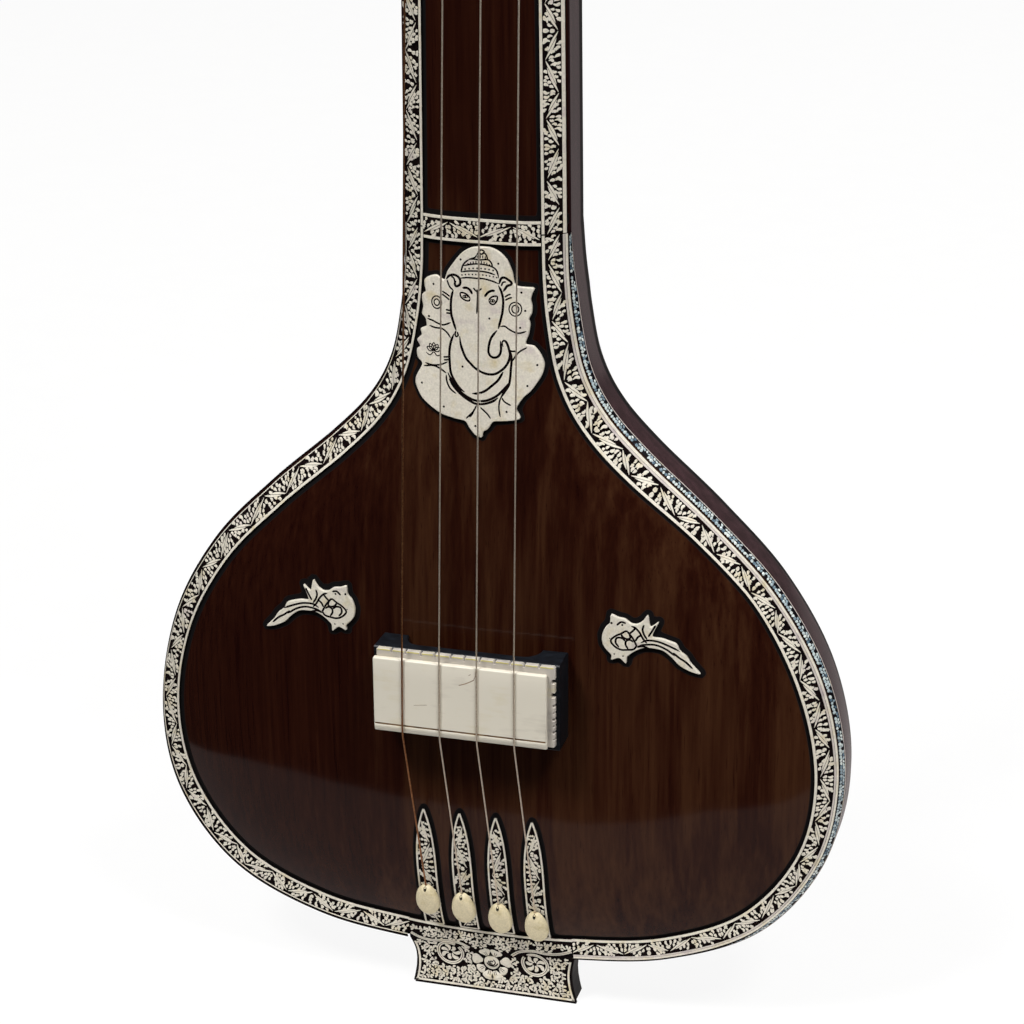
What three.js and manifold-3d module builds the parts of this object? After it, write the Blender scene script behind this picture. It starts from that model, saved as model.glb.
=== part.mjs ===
// A small four-string tanpura: a hollow long-necked lute with a domed face, wide flat bridge and tuning beads.
// Millimetres. X to the viewer's right, the face looks along -Y, Z runs up the neck from the tail block's foot.
import * as THREE from 'three';
import { mergeVertices } from 'three/addons/utils/BufferGeometryUtils.js';
import Module from 'manifold-3d';

const wasm = await Module();
wasm.setup();

// Clearances shared by every piece
const seatGap = 0.3;
const overrun = 20;

// Body, neck and head, measured at the sharp edge where the face meets the side
const bodyHalfWidth = 137.8;
const bodyLength = 300.4;
const tailDrop = 21.6;
const neckFootHalf = 31.1;
const neckTopHalf = 27.4;
const neckLength = 446;
const headLength = 168;
const bodyDome = 18;
const neckDome = 7;
const bodyWallDepth = 13;
const neckWallDepth = 15;
const bodyBackRise = 24;
const neckBackRise = 20;
const shellWall = 3.5;
const endWall = 6;
const boardThickness = 4;
const bodyChamfer = 2.2;
const neckChamfer = 0.8;
const chamferRun = 25;
const ledgeDrop = 2.5;
const ledgeStep = 0.1;

// How full the face and the back are: exponents of their cross-sections
const bodyFaceFullness = 4.55;
const neckFaceFullness = 3.5;
const backFullness = 2.5;

// Inlaid plates on the face
const plateThickness = 0.8;
const plateLift = 0.4;
const borderWidth = 8.6;
const bandHeight = 9.4;
const bandRise = 0.3;
const pearlLip = 0.3;

// Inside the body
const blockLength = 26;
const tailBlockReach = 24;
const blockHalf = 24;
const blockDepth = 22;
const liningWidth = 6;
const liningDepth = 11;
const braceWidth = 8;
const braceDepth = 9;
const braceEndDepth = 3;
const glueGap = 0.45;
const braceLowShare = 0.248;
const braceHighShare = 0.607;

// Tail block and its plate
const tailHalfTop = 34.4;
const tailHalfWaist = 32.4;
const tailHalfFoot = 34;
const tailFront = -1.2;
const tailDepth = 11;

// Bridge
const bridgeWidth = 70.4;
const bridgeLength = 36;
const bridgePlaceShare = 0.3542;
const bridgeTopHeight = 17.3;
const bridgePlateThickness = 2.4;
const keyThickness = 1.8;
const keyReach = 3.8;
const keySide = 2.6;
const keyNotchWidth = 0.7;
const keyNotchDepth = 1.6;
const keyNotchesAcross = 11;
const keyNotchesUp = 5;
const bridgeLegWidth = 10.5;
const bridgeTableDepth = 5;
const bridgeBodyInset = 1.2;
const bridgeLipLength = 4;
const bridgeLipFall = 0.5;

// Strings, counted from the left as seen from the front
const bronzeDiameter = 0.7;
const steelDiameter = 0.6;
const stringSpacingBridge = 14.75;
const stringSpacingNut = 12.6;
const stringShiftBridge = -2.9;
const stringShiftNut = 3.8;
const stringShiftPin = -1.1;
const stringSpacingPin = 14.7;
const stringSides = 6;

// Leaf strips, tuning beads and hitch pins
const leafWidth = 8.3;
const leafLength = 57;
const leafRise = 10;
const leafShift = -0.9;
const beadWidth = 9.8;
const beadLength = 15.5;
const beadCrown = 2.6;
const beadBack = 0.55;
const beadRise = 16.9;
const beadStepShares = [1, 0.733, 0.28, 0];
const beadSteps = 7.5;
const beadSlotHalf = 1.75;
const beadSlotDepth = 1;
const pinRadius = 1;
const pinHeadRadius = 1.35;
const pinHeadThickness = 0.5;
const pinBelowBead = 4;
const pinStringRise = 1.5;
const pinTopRise = 0.4;

// Nut, string guide and pegs
const nutBelow = 10;
const nutThickness = 4;
const nutRise = 9.4;
const nutHalf = 25;
const guideAbove = 12;
const guideThickness = 3;
const guideRise = 9;
const guideStringRise = 7.6;
const guideHalf = 24.6;
const guideHoleRadius = 1.1;
const pegRadius = 4.5;
const pegTipRadius = 3.9;
const pegDepth = 25;
const pegSides = 12;
const collarRadius = 7.6;
const collarThickness = 2;
const neckOfPeg = 11;
const knobLength = 25;
const knobRadius = 10.5;
const pegSpacing = 32;
const firstPegAbove = 32;
const sidePegAxisDepth = 6;
const windingTurns = 3;
const windingGap = 0.5;
const windingSteps = 12;

// Ornaments on the face
const figureWidth = 49.1;
const figureHeight = 72.3;
const figureShift = -0.4;
const figureDrop = 41.8;
const birdWidth = 37.3;
const birdHeight = 22;
const birdPlaceShares = [0.4906, 0.493];
const patchStep = 7;

const bodyTop = tailDrop + bodyLength;
const neckTop = bodyTop + neckLength;
const bandCentre = bodyTop + bandRise;
const bodyPlace = (share) => tailDrop + share * bodyLength;
const bridgeFoot = bodyPlace(bridgePlaceShare);
const leafFoot = tailDrop + leafRise;
const nutHeight = neckTop - nutBelow;
const guideHeight = neckTop + guideAbove;
const figureCentre = [figureShift, bodyTop - figureDrop];
const birdCentre = [birdPlaceShares[0] * bodyHalfWidth, bodyPlace(birdPlaceShares[1])];
const stringDiameters = [bronzeDiameter, steelDiameter, steelDiameter, steelDiameter];
const beadHeights = beadStepShares.map((share) => tailDrop + beadRise + share * beadSteps);

const materials = {
  rosewood: new THREE.MeshStandardMaterial({ color: 0x33170f, roughness: 0.2, metalness: 0 }),
  walnut: new THREE.MeshStandardMaterial({ color: 0x4a3c3a, roughness: 0.25, metalness: 0 }),
  spruce: new THREE.MeshStandardMaterial({ color: 0xb08a5a, roughness: 0.8, metalness: 0 }),
  ebony: new THREE.MeshStandardMaterial({ color: 0x16161c, roughness: 0.35, metalness: 0 }),
  engraved: new THREE.MeshStandardMaterial({ color: 0xd7cfb9, roughness: 0.45, metalness: 0 }),
  bone: new THREE.MeshStandardMaterial({ color: 0xe1d7c3, roughness: 0.5, metalness: 0 }),
  bead: new THREE.MeshStandardMaterial({ color: 0xe1d2aa, roughness: 0.5, metalness: 0 }),
  pearl: new THREE.MeshStandardMaterial({ color: 0xa9b8bb, roughness: 0.25, metalness: 0 }),
  steel: new THREE.MeshStandardMaterial({ color: 0xc2b9a8, roughness: 0.3, metalness: 1 }),
  bronze: new THREE.MeshStandardMaterial({ color: 0xa8714a, roughness: 0.3, metalness: 1 }),
};

// Mesh tools

/** Gives a geometry shared vertices, no empty triangles and faces that look out. */
function tidy(geometry) {
  geometry.deleteAttribute('normal');
  geometry.deleteAttribute('uv');
  const merged = mergeVertices(geometry, 1e-4);
  const position = merged.getAttribute('position');
  const index = merged.getIndex().array;
  const kept = [];
  const a = new THREE.Vector3();
  const b = new THREE.Vector3();
  const c = new THREE.Vector3();
  let volume = 0;
  for (let i = 0; i < index.length; i += 3) {
    const [p, q, r] = [index[i], index[i + 1], index[i + 2]];
    if (p === q || q === r || r === p) continue;
    kept.push(p, q, r);
    a.fromBufferAttribute(position, p);
    b.fromBufferAttribute(position, q);
    c.fromBufferAttribute(position, r);
    volume += a.dot(b.cross(c));
  }
  if (volume < 0) {
    for (let i = 0; i < kept.length; i += 3) [kept[i + 1], kept[i + 2]] = [kept[i + 2], kept[i + 1]];
  }
  merged.setIndex(kept);
  return merged;
}

/** Joins rings of equally many points into one closed body; capped ends suit convex rings. */
function skin(rings, capped = false) {
  const count = rings[0].length;
  const points = rings.flat();
  const index = [];
  for (let k = 0; k + 1 < rings.length; k += 1) {
    for (let i = 0; i < count; i += 1) {
      const j = (i + 1) % count;
      const [a, b, c, d] = [k * count + i, k * count + j, (k + 1) * count + j, (k + 1) * count + i];
      index.push(a, b, c, a, c, d);
    }
  }
  const last = (rings.length - 1) * count;
  for (let i = 1; capped && i + 1 < count; i += 1) {
    index.push(0, i + 1, i, last, last + i, last + i + 1);
  }
  const geometry = new THREE.BufferGeometry();
  geometry.setAttribute('position', new THREE.Float32BufferAttribute(points.flat(), 3));
  geometry.setIndex(index);
  return tidy(geometry);
}

/** A thin sheet from a grid of front points, thickened backwards along +Y. */
function sheet(rows, thickness) {
  const rings = rows.map((row) => {
    const back = row.map(([x, y, z]) => [x, y + thickness, z]).reverse();
    return [...row, ...back];
  });
  const count = rings[0].length;
  const width = rows[0].length;
  const points = rings.flat();
  const index = [];
  for (let k = 0; k + 1 < rings.length; k += 1) {
    for (let i = 0; i < count; i += 1) {
      const j = (i + 1) % count;
      const [a, b, c, d] = [k * count + i, k * count + j, (k + 1) * count + j, (k + 1) * count + i];
      index.push(a, b, c, a, c, d);
    }
  }
  const last = (rings.length - 1) * count;
  for (let i = 0; i + 1 < width; i += 1) {
    const [a, b, c, d] = [i, i + 1, count - 2 - i, count - 1 - i];
    index.push(a, c, b, a, d, c);
    index.push(last + a, last + b, last + c, last + a, last + c, last + d);
  }
  const geometry = new THREE.BufferGeometry();
  geometry.setAttribute('position', new THREE.Float32BufferAttribute(points.flat(), 3));
  geometry.setIndex(index);
  return tidy(geometry);
}

function toSolid(geometry) {
  const clean = tidy(geometry.clone());
  return new wasm.Manifold(new wasm.Mesh({
    numProp: 3,
    vertProperties: new Float32Array(clean.getAttribute('position').array),
    triVerts: new Uint32Array(clean.getIndex().array),
  }));
}

function fromSolid(solid) {
  const mesh = solid.getMesh();
  const geometry = new THREE.BufferGeometry();
  geometry.setAttribute('position', new THREE.Float32BufferAttribute(mesh.vertProperties, 3));
  geometry.setIndex(Array.from(mesh.triVerts));
  return geometry;
}

const carve = (geometry, ...cutters) => fromSolid(
  cutters.reduce((left, cutter) => left.subtract(toSolid(cutter)), toSolid(geometry)),
);
const weld = (first, second) => fromSolid(toSolid(first).add(toSolid(second)));
const overlap = (first, second) => fromSolid(toSolid(first).intersect(toSolid(second)));

function box(x0, x1, y0, y1, z0, z1) {
  const geometry = new THREE.BoxGeometry(x1 - x0, y1 - y0, z1 - z0);
  return geometry.translate((x0 + x1) / 2, (y0 + y1) / 2, (z0 + z1) / 2);
}

/** A rod between two points. */
function rod(from, to, radius, sides) {
  const start = new THREE.Vector3(...from);
  const run = new THREE.Vector3(...to).sub(start);
  const geometry = new THREE.CylinderGeometry(radius, radius, run.length(), sides);
  geometry.translate(0, run.length() / 2, 0);
  geometry.applyQuaternion(new THREE.Quaternion().setFromUnitVectors(new THREE.Vector3(0, 1, 0), run.normalize()));
  return geometry.translate(...from);
}

/** A round wire through a list of points, as one unbroken tube. */
function wire(points, radius, sides) {
  const places = points.map((p) => new THREE.Vector3(...p));
  const ahead = places.map((p, i) => {
    const before = places[Math.max(i - 1, 0)];
    const after = places[Math.min(i + 1, places.length - 1)];
    return after.clone().sub(before).normalize();
  });
  let side = new THREE.Vector3(1, 0, 0);
  const rings = places.map((p, i) => {
    side = side.clone().addScaledVector(ahead[i], -side.dot(ahead[i])).normalize();
    const up = ahead[i].clone().cross(side);
    return Array.from({ length: sides }, (_, k) => {
      const turn = (k / sides) * 2 * Math.PI;
      const q = p.clone().addScaledVector(side, radius * Math.cos(turn));
      return q.addScaledVector(up, radius * Math.sin(turn)).toArray();
    });
  });
  return skin(rings, true);
}

const mirrored = (geometry) => tidy(geometry.clone().scale(-1, 1, 1));
const blend = (a, b, w) => a + (b - a) * w;
const steps = (count, from = 0, to = 1) => (
  Array.from({ length: count + 1 }, (_, i) => blend(from, to, i / count)));

const nudge = 1e-3;

// Outline of the face: half-width, height and the height of the ray's foot on the centre line

// Rows up to the widest place, as shares of the half-width and of the body's length
const lowerShares = [
  [0, 0, 0.4256], [0.254, 0.0053, 0.4258], [0.53, 0.0253, 0.4262], [0.784, 0.0822, 0.427],
  [0.951, 0.186, 0.4284], [1, 0.308, 0.432],
];
// Rows above it, whose first number is a share of what the body is wider than the neck
const upperShares = [
  [0.931, 0.437, 0.447], [0.758, 0.549, 0.481], [0.524, 0.638, 0.521], [0.28, 0.716, 0.574],
  [0.14, 0.77, 0.631], [0.06, 0.824, 0.714], [0.0216, 0.887, 0.82], [0.0047, 0.943, 0.913], [0, 1, 1],
];
const bodyRows = [
  ...lowerShares.map(([x, z, s]) => [x * bodyHalfWidth, z, s]),
  ...upperShares.map(([x, z, s]) => [blend(neckFootHalf, bodyHalfWidth, x), z, s]),
].map(([x, z, s]) => new THREE.Vector3(x, tailDrop + z * bodyLength, tailDrop + s * bodyLength));
const bodyCurve = new THREE.CatmullRomCurve3(
  [...bodyRows.slice(1).map((p) => new THREE.Vector3(-p.x, p.y, p.z)).reverse(), ...bodyRows],
  false, 'catmullrom', 0.5,
);
const bodyEdge = (t) => bodyCurve.getPoint((1 + t) / 2).toArray();

const neckHalfAt = (z) => blend(neckFootHalf, neckTopHalf, (z - bodyTop) / neckLength);
const neckEdge = (t) => {
  const z = bodyTop + t * neckLength;
  return [neckHalfAt(z), z, z];
};

// The head: shares of its foot's half-width and of its length, with the rays' feet
const headShares = [
  [0, 1, 0.8], [0.3, 0.993, 0.798], [0.6, 0.965, 0.79], [0.84, 0.9, 0.77], [0.955, 0.78, 0.72],
  [0.985, 0.55, 0.54], [0.99, 0.3, 0.3], [1, 0, 0],
];
const headFoot = neckTop + seatGap;
const headRows = headShares.map(([x, z, s]) => (
  new THREE.Vector3(x * neckTopHalf, headFoot + z * headLength, headFoot + s * headLength)));
const headCurve = new THREE.CatmullRomCurve3(
  [...headRows.slice(1).map((p) => new THREE.Vector3(-p.x, p.y, p.z)).reverse(), ...headRows],
  false, 'catmullrom', 0.5,
);
const headEdge = (t) => headCurve.getPoint((1 + t) / 2).toArray();

/** The outline's point at t with its inward direction and the ray to the centre line. */
function station(edge, t) {
  const [x, z, s] = edge(t);
  const before = edge(t > nudge || t < 0 ? t - nudge : t);
  const after = edge(t < 1 - nudge ? t + nudge : t);
  const along = new THREE.Vector2(after[0] - before[0], after[1] - before[1]).normalize();
  const inward = new THREE.Vector2(-along.y, along.x);
  if (inward.x * -x + inward.y * (s - z) < 0) inward.negate();
  const ray = new THREE.Vector2(-x, s - z);
  const reach = ray.length();
  return { x, z, s, inward, reach, slant: inward.dot(ray) / reach };
}

/** 1 over the middle of the body, 0 at the neck and beyond. */
function fullness(s) {
  const middle = tailDrop + lowerShares[0][2] * bodyLength;
  const w = THREE.MathUtils.clamp((bodyTop - s) / (bodyTop - middle), 0, 1);
  return w * w * (3 - 2 * w);
}

function frontHeight(s, f) {
  const w = fullness(s);
  const dome = blend(neckDome, bodyDome, w);
  const power = blend(neckFaceFullness, bodyFaceFullness, w);
  return -dome * (1 - THREE.MathUtils.clamp(1 - f, 0, 1) ** power);
}

function backHeight(s, f, thinner = 0) {
  const w = fullness(s);
  const rise = blend(neckBackRise, bodyBackRise, w) - thinner;
  const arch = (1 - THREE.MathUtils.clamp(1 - f, 0, 1) ** backFullness) ** (1 / backFullness);
  return wallDepth(s) + rise * arch;
}

const wallDepth = (s) => blend(neckWallDepth, bodyWallDepth, fullness(s));
const chamferAt = (z) => blend(neckChamfer, bodyChamfer, THREE.MathUtils.clamp((bodyTop - z) / chamferRun, 0, 1));

/** A point set in from the outline by d along the face's plane, at depth y or on the face. */
function insetPoint(at, d, y) {
  const [x, z] = [at.x + at.inward.x * d, at.z + at.inward.y * d];
  return [x, y === undefined ? faceHeight(x, z) : y, z];
}

/** A point a share f of the way in from an inset start to the centre line, at height y. */
function rayPoint(at, d, f, y) {
  const [x, , z] = insetPoint(at, d, 0);
  return [x * (1 - f), y, blend(z, at.s, f)];
}

/** The closed ring of right-hand points and their mirror images. */
const ringOf = (right) => [...right, ...right.map(([x, y, z]) => [-x, y, z]).reverse()];

// Body: the hollow back with its sides, and the face board

/** The share of the outline at which a measure of it reaches a value, found by halving. */
function outlineWhere(measure, value, low, high) {
  let [a, b] = [low, high];
  for (let i = 0; i < 40; i += 1) {
    const middle = (a + b) / 2;
    if (measure(bodyEdge(middle)) < value) a = middle;
    else b = middle;
  }
  return (a + b) / 2;
}
const outlineByHeight = (z) => outlineWhere(([, height]) => height, z, 0, 1);
const outlineByWidth = (x) => outlineWhere(([half]) => half, x, 0, 0.3);
const tailJoin = outlineByWidth(tailHalfTop + seatGap);
const tailSteps = 3;
const bodySteps = 22;
const nearEnd = 1 - seatGap / bodyLength;
const stationsUpTo = (end) => [
  ...steps(tailSteps, 0, tailJoin).slice(0, -1), ...steps(bodySteps, tailJoin, end),
].map((t) => station(bodyEdge, t));
const bodyStations = [...stationsUpTo(nearEnd), station(bodyEdge, 1)];

const boardShares = [0, 0.075, 0.16, 0.28, 0.45, 0.7, 1];
function faceBoard(stations) {
  const face = (f, drop) => ringOf(stations.map((at) => rayPoint(at, 0, f, frontHeight(at.s, f) + drop)));
  return skin([
    ...boardShares.slice().reverse().map((f) => face(f, 0)),
    ...boardShares.map((f) => face(f, boardThickness)),
  ]);
}
const soundboard = faceBoard(bodyStations);

/** A hollow back; its lip beside the board stops short of the closed ends. */
function hollowShell(outerStations, innerStations, lipDepth, openEnds) {
  const inner = (d, f, thinner) => ringOf(innerStations.map((at) => (
    rayPoint(at, d, f, backHeight(at.s, f, thinner)))));
  const outer = (f) => ringOf(outerStations.map((at) => rayPoint(at, -chamferAt(at.z), f, backHeight(at.s, f))));
  const rim = (stations, depth, drop) => ringOf(stations.map((at, k) => insetPoint(at, depth(at), drop(k))));
  const seat = boardThickness + seatGap;
  const last = outerStations.length - 1;
  const lip = (k) => (openEnds.includes(k) || openEnds.includes(k - last - 1) ? seat : lipDepth);
  return skin([
    ...[1, 0.6, 0.3, 0.12, 0.04, 0].map((f) => inner(shellWall, f, shellWall)),
    rim(innerStations, () => shellWall, () => seat),
    rim(outerStations, () => -seatGap, () => seat),
    rim(outerStations, () => -seatGap, lip),
    rim(outerStations, (at) => -chamferAt(at.z), (k) => lip(k) + ledgeStep),
    ...[0, 0.015, 0.05, 0.12, 0.3, 0.6, 1].map(outer),
  ]);
}

const bodyInner = [...stationsUpTo(outlineByHeight(bodyTop - endWall))];
bodyInner.push(bodyInner.at(-1));
const backShell = hollowShell(bodyStations, bodyInner, ledgeDrop, [-1]);

// Neck: a channel closed at both ends, and its face plate

const neckStart = seatGap / neckLength;
const neckStations = [neckStart, 2 * neckStart, 0.35, 0.7, 1 - neckStart, 1].map((t) => station(neckEdge, t));
const neckHollow = [endWall / neckLength, 0.35, 0.7, 1 - endWall / neckLength];
const neckInner = [neckHollow[0], ...neckHollow, neckHollow.at(-1)].map((t) => station(neckEdge, t));
const neckShell = hollowShell(neckStations, neckInner, neckChamfer, [0, -1]);
const neckFace = faceBoard(neckStations);

/** A measure of a mesh's front: the depth of its surface at a place seen from the front. */
function frontOf(geometry) {
  const position = geometry.getAttribute('position');
  const index = geometry.getIndex().array;
  const facets = [];
  for (let i = 0; i < index.length; i += 3) {
    const [a, b, c] = [0, 1, 2].map((k) => new THREE.Vector3().fromBufferAttribute(position, index[i + k]));
    const area = (b.x - a.x) * (c.z - a.z) - (b.z - a.z) * (c.x - a.x);
    if (area > nudge) facets.push([a, b, c, area]);
  }
  return (x, z) => {
    for (const [a, b, c, area] of facets) {
      const v = ((x - a.x) * (c.z - a.z) - (z - a.z) * (c.x - a.x)) / area;
      const w = ((b.x - a.x) * (z - a.z) - (b.z - a.z) * (x - a.x)) / area;
      if (v > -nudge && w > -nudge && v + w < 1 + nudge) return a.y + v * (b.y - a.y) + w * (c.y - a.y);
    }
    return 0;
  };
}
const overBody = frontOf(soundboard);
const overNeck = frontOf(neckFace);
const faceHeight = (x, z) => (z < bodyTop ? overBody(x, z) : overNeck(x, Math.max(z, bodyTop + seatGap)));

// Inside: end blocks, linings and cross braces

const insideGap = shellWall + seatGap;
const underBoard = (at, d) => insetPoint(at, d)[1] + boardThickness + glueGap;
const flipped = (at) => ({ ...at, x: -at.x, inward: new THREE.Vector2(-at.inward.x, at.inward.y) });
const halfWidthAt = (z) => bodyEdge(outlineByHeight(z))[0];

/** A bar across the body under the board, its top following the board. */
function crossBar(half, low, high, foot) {
  return skin(steps(10, -1, 1).map((u) => {
    const top = (z) => faceHeight(u * half, z) + boardThickness + glueGap;
    return [
      [u * half, top(low), low], [u * half, top(high), high],
      [u * half, foot(u, top(high)), high], [u * half, foot(u, top(low)), low],
    ];
  }), true);
}
const neckBlock = crossBar(
  blockHalf, bodyTop - endWall - seatGap - blockLength, bodyTop - endWall - 2 * seatGap, () => blockDepth);
const brace = (z) => crossBar(
  halfWidthAt(z) - insideGap - 3 * liningWidth, z - braceWidth / 2, z + braceWidth / 2,
  (u, top) => top + blend(braceDepth, braceEndDepth, Math.abs(u) ** 3));

const tailArc = bodyInner.slice(0, tailSteps + 2);
const tailInnerBlock = skin([...tailArc.slice(1).map(flipped).reverse(), ...tailArc].map((at) => [
  insetPoint(at, insideGap, underBoard(at, insideGap)),
  insetPoint(at, tailBlockReach, underBoard(at, tailBlockReach)),
  insetPoint(at, tailBlockReach, blockDepth),
  insetPoint(at, insideGap, liningDepth),
]), true);

const lining = skin(bodyInner.slice(tailSteps + 2, -5).map((at) => [
  insetPoint(at, insideGap, underBoard(at, insideGap)),
  insetPoint(at, insideGap + liningWidth, underBoard(at, insideGap + liningWidth)),
  insetPoint(at, insideGap + liningWidth, underBoard(at, insideGap + liningWidth) + liningWidth),
  insetPoint(at, insideGap, liningDepth),
]), true);

// Border strips on the face, the band across the joint and the pearl bead on the edge

const proud = plateLift + plateThickness;
const stripDepths = steps(4, seatGap, borderWidth);
const stripRow = (at) => stripDepths.map((d) => {
  const [x, y, z] = insetPoint(at, d);
  return [x, y - proud, z];
});
const sideStations = [
  station(bodyEdge, tailJoin + seatGap / bodyLength), ...bodyStations.slice(tailSteps + 1, -2), station(bodyEdge, 1),
];
const bodyBorder = sheet(sideStations.map(stripRow), plateThickness);
const neckBorderTop = (nutHeight - nutThickness / 2 - seatGap - bodyTop) / neckLength;
const neckBorder = sheet([neckStart, 0.35, 0.7, neckBorderTop].map((t) => stripRow(station(neckEdge, t))), plateThickness);

const pearlBead = skin(sideStations.map((at) => {
  const chamfer = chamferAt(at.z);
  return [
    insetPoint(at, -seatGap, pearlLip),
    insetPoint(at, -chamfer, chamfer),
    insetPoint(at, -seatGap, chamfer),
  ];
}), true);

const bandHalf = (z) => (z >= bodyTop ? neckHalfAt(z) : halfWidthAt(z)) - borderWidth - seatGap;
const band = sheet(steps(2, bandCentre - bandHeight / 2, bandCentre + bandHeight / 2).map((z) => (
  steps(8, -1, 1).map((u) => {
    const x = u * bandHalf(z);
    return [x, faceHeight(x, z) - proud, z];
  }))), plateThickness);

/** A thin plate that lies on the domed face, cut to an outline given in the face's plane. */
function facePlate(outline) {
  const xs = outline.map((p) => p[0]);
  const zs = outline.map((p) => p[1]);
  const [x0, x1, z0, z1] = [Math.min(...xs), Math.max(...xs), Math.min(...zs), Math.max(...zs)];
  const across = Math.max(2, Math.ceil((x1 - x0) / patchStep));
  const up = Math.max(2, Math.ceil((z1 - z0) / patchStep));
  const grid = steps(up, z0 - seatGap, z1 + seatGap).map((z) => (
    steps(across, x0 - seatGap, x1 + seatGap).map((x) => [x, faceHeight(x, z) - proud, z])));
  const shape = new THREE.Shape(outline.map(([x, z]) => new THREE.Vector2(x, z)));
  const depth = bodyDome + overrun;
  const prism = new THREE.ExtrudeGeometry(shape, { depth, bevelEnabled: false });
  prism.rotateX(Math.PI / 2);
  return overlap(sheet(grid, plateThickness), prism);
}

// The seated elephant-headed figure, a traditional ornament, as shares of its width and height
const figureShares = [
  [0, 0.5], [0.08, 0.5], [0.15, 0.48], [0.21, 0.44], [0.25, 0.38], [0.28, 0.31],
  [0.41, 0.3], [0.4, 0.27], [0.39, 0.24], [0.4, 0.21], [0.4, 0.17], [0.38, 0.14],
  [0.39, 0.11], [0.38, 0.06], [0.36, 0.01], [0.42, 0], [0.47, -0.04], [0.5, -0.09],
  [0.49, -0.14], [0.46, -0.18], [0.41, -0.23], [0.35, -0.27], [0.3, -0.33], [0.33, -0.38],
  [0.21, -0.4], [0.12, -0.41], [0.08, -0.45], [0.04, -0.47], [0.03, -0.5], [-0.02, -0.49],
  [-0.07, -0.45], [-0.1, -0.42], [-0.17, -0.41], [-0.28, -0.39], [-0.38, -0.35], [-0.45, -0.31],
  [-0.5, -0.25], [-0.5, -0.21], [-0.45, -0.14], [-0.49, -0.11], [-0.5, -0.07], [-0.47, -0.05],
  [-0.5, -0.02], [-0.46, 0.01], [-0.47, 0.04], [-0.42, 0.06], [-0.43, 0.1], [-0.46, 0.12],
  [-0.45, 0.16], [-0.46, 0.19], [-0.46, 0.22], [-0.43, 0.24], [-0.44, 0.27], [-0.44, 0.3],
  [-0.4, 0.32], [-0.34, 0.33], [-0.28, 0.31], [-0.25, 0.36], [-0.2, 0.41], [-0.14, 0.46],
  [-0.07, 0.49],
];
const figure = facePlate(figureShares.map(([x, z]) => (
  [figureCentre[0] + x * figureWidth, figureCentre[1] + z * figureHeight])));

// The left bird, tail to the left, as shares of its width and height
const birdShares = [
  [-0.5, -0.5], [-0.41, -0.33], [-0.36, -0.2], [-0.29, -0.1], [-0.25, 0.02], [-0.11, 0.1],
  [-0.01, 0.13], [-0.07, 0.39], [0.01, 0.3], [0.04, 0.5], [0.09, 0.39], [0.15, 0.33],
  [0.21, 0.34], [0.27, 0.41], [0.34, 0.43], [0.41, 0.47], [0.42, 0.32], [0.47, 0.22],
  [0.5, 0.07], [0.49, -0.08], [0.45, -0.18], [0.4, -0.27], [0.4, -0.36], [0.32, -0.31],
  [0.25, -0.4], [0.24, -0.28], [0.17, -0.17], [0.08, -0.09], [-0.01, -0.08], [-0.12, -0.11],
  [-0.21, -0.22], [-0.29, -0.36], [-0.4, -0.46],
];
const bird = facePlate(birdShares.map(([x, z]) => (
  [-birdCentre[0] + x * birdWidth, birdCentre[1] + z * birdHeight])));

// Pointed leaf strips, as shares of the half-width and length up one side
const leafShares = [[1, 0], [1, 0.55], [0.93, 0.68], [0.76, 0.8], [0.5, 0.9], [0.22, 0.97], [0, 1]];
const leafPlace = (i) => leafShift + (i - 1.5) * stringSpacingPin;
function leafStrip(i) {
  const right = leafShares.map(([x, z]) => [x * leafWidth / 2, z * leafLength]);
  const left = right.slice(0, -1).map(([x, z]) => [-x, z]).reverse();
  return facePlate([...right, ...left].map(([x, z]) => [x + leafPlace(i), z + leafFoot + seatGap]));
}

// Tail block under the body, with one engraved plate that climbs over the border

const tailEdge = (x) => bodyEdge(outlineByWidth(Math.abs(x)))[1];
const tailHalf = (u) => (u < 0.5
  ? blend(tailHalfTop, tailHalfWaist, Math.sin(u * Math.PI))
  : blend(tailHalfFoot, tailHalfWaist, Math.sin(u * Math.PI)));
const tailRows = [
  ...[borderWidth, borderWidth / 2, seatGap].map((d) => steps(10, -1, 1).map((u) => {
    const at = station(bodyEdge, outlineByWidth(Math.abs(u) * tailHalfTop));
    const [x, y, z] = insetPoint(at, d);
    return [Math.sign(u) * x, y - proud, z];
  })),
  ...[0.12, 0.35, 0.6, 0.8, 1].map((down) => steps(10, -1, 1).map((u) => {
    const z = blend(tailEdge(u * tailHalfTop), 0, down);
    return [u * tailHalf(down), tailFront - proud, z];
  })),
];
const tailPlate = sheet(tailRows, plateThickness);

const tailOutline = new THREE.Shape();
tailOutline.moveTo(-tailHalfFoot, 0);
steps(6, 1, 0).forEach((down) => tailOutline.lineTo(-tailHalf(down), tailDrop * (1 - down)));
steps(6, 0, 1).forEach((down) => tailOutline.lineTo(tailHalf(down), tailDrop * (1 - down)));
tailOutline.closePath();
const tailRaw = new THREE.ExtrudeGeometry(tailOutline, { depth: tailDepth, bevelEnabled: false });
tailRaw.rotateX(Math.PI / 2);
tailRaw.translate(0, tailFront + tailDepth, 0);
const tailClearance = new THREE.ExtrudeGeometry(
  new THREE.Shape(ringOf(steps(40, 0, 0.5).map((t) => {
    const at = station(bodyEdge, t);
    return insetPoint(at, -chamferAt(at.z) - seatGap, 0);
  })).map(([x, , z]) => new THREE.Vector2(x, z))),
  { depth: 2 * overrun + tailDepth, bevelEnabled: false },
);
tailClearance.rotateX(Math.PI / 2);
tailClearance.translate(0, overrun + tailDepth, 0);
const tailBlock = carve(tailRaw, tailClearance);

// Bridge: dark wooden table on two legs, a notched key layer and the flat top plate

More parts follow.
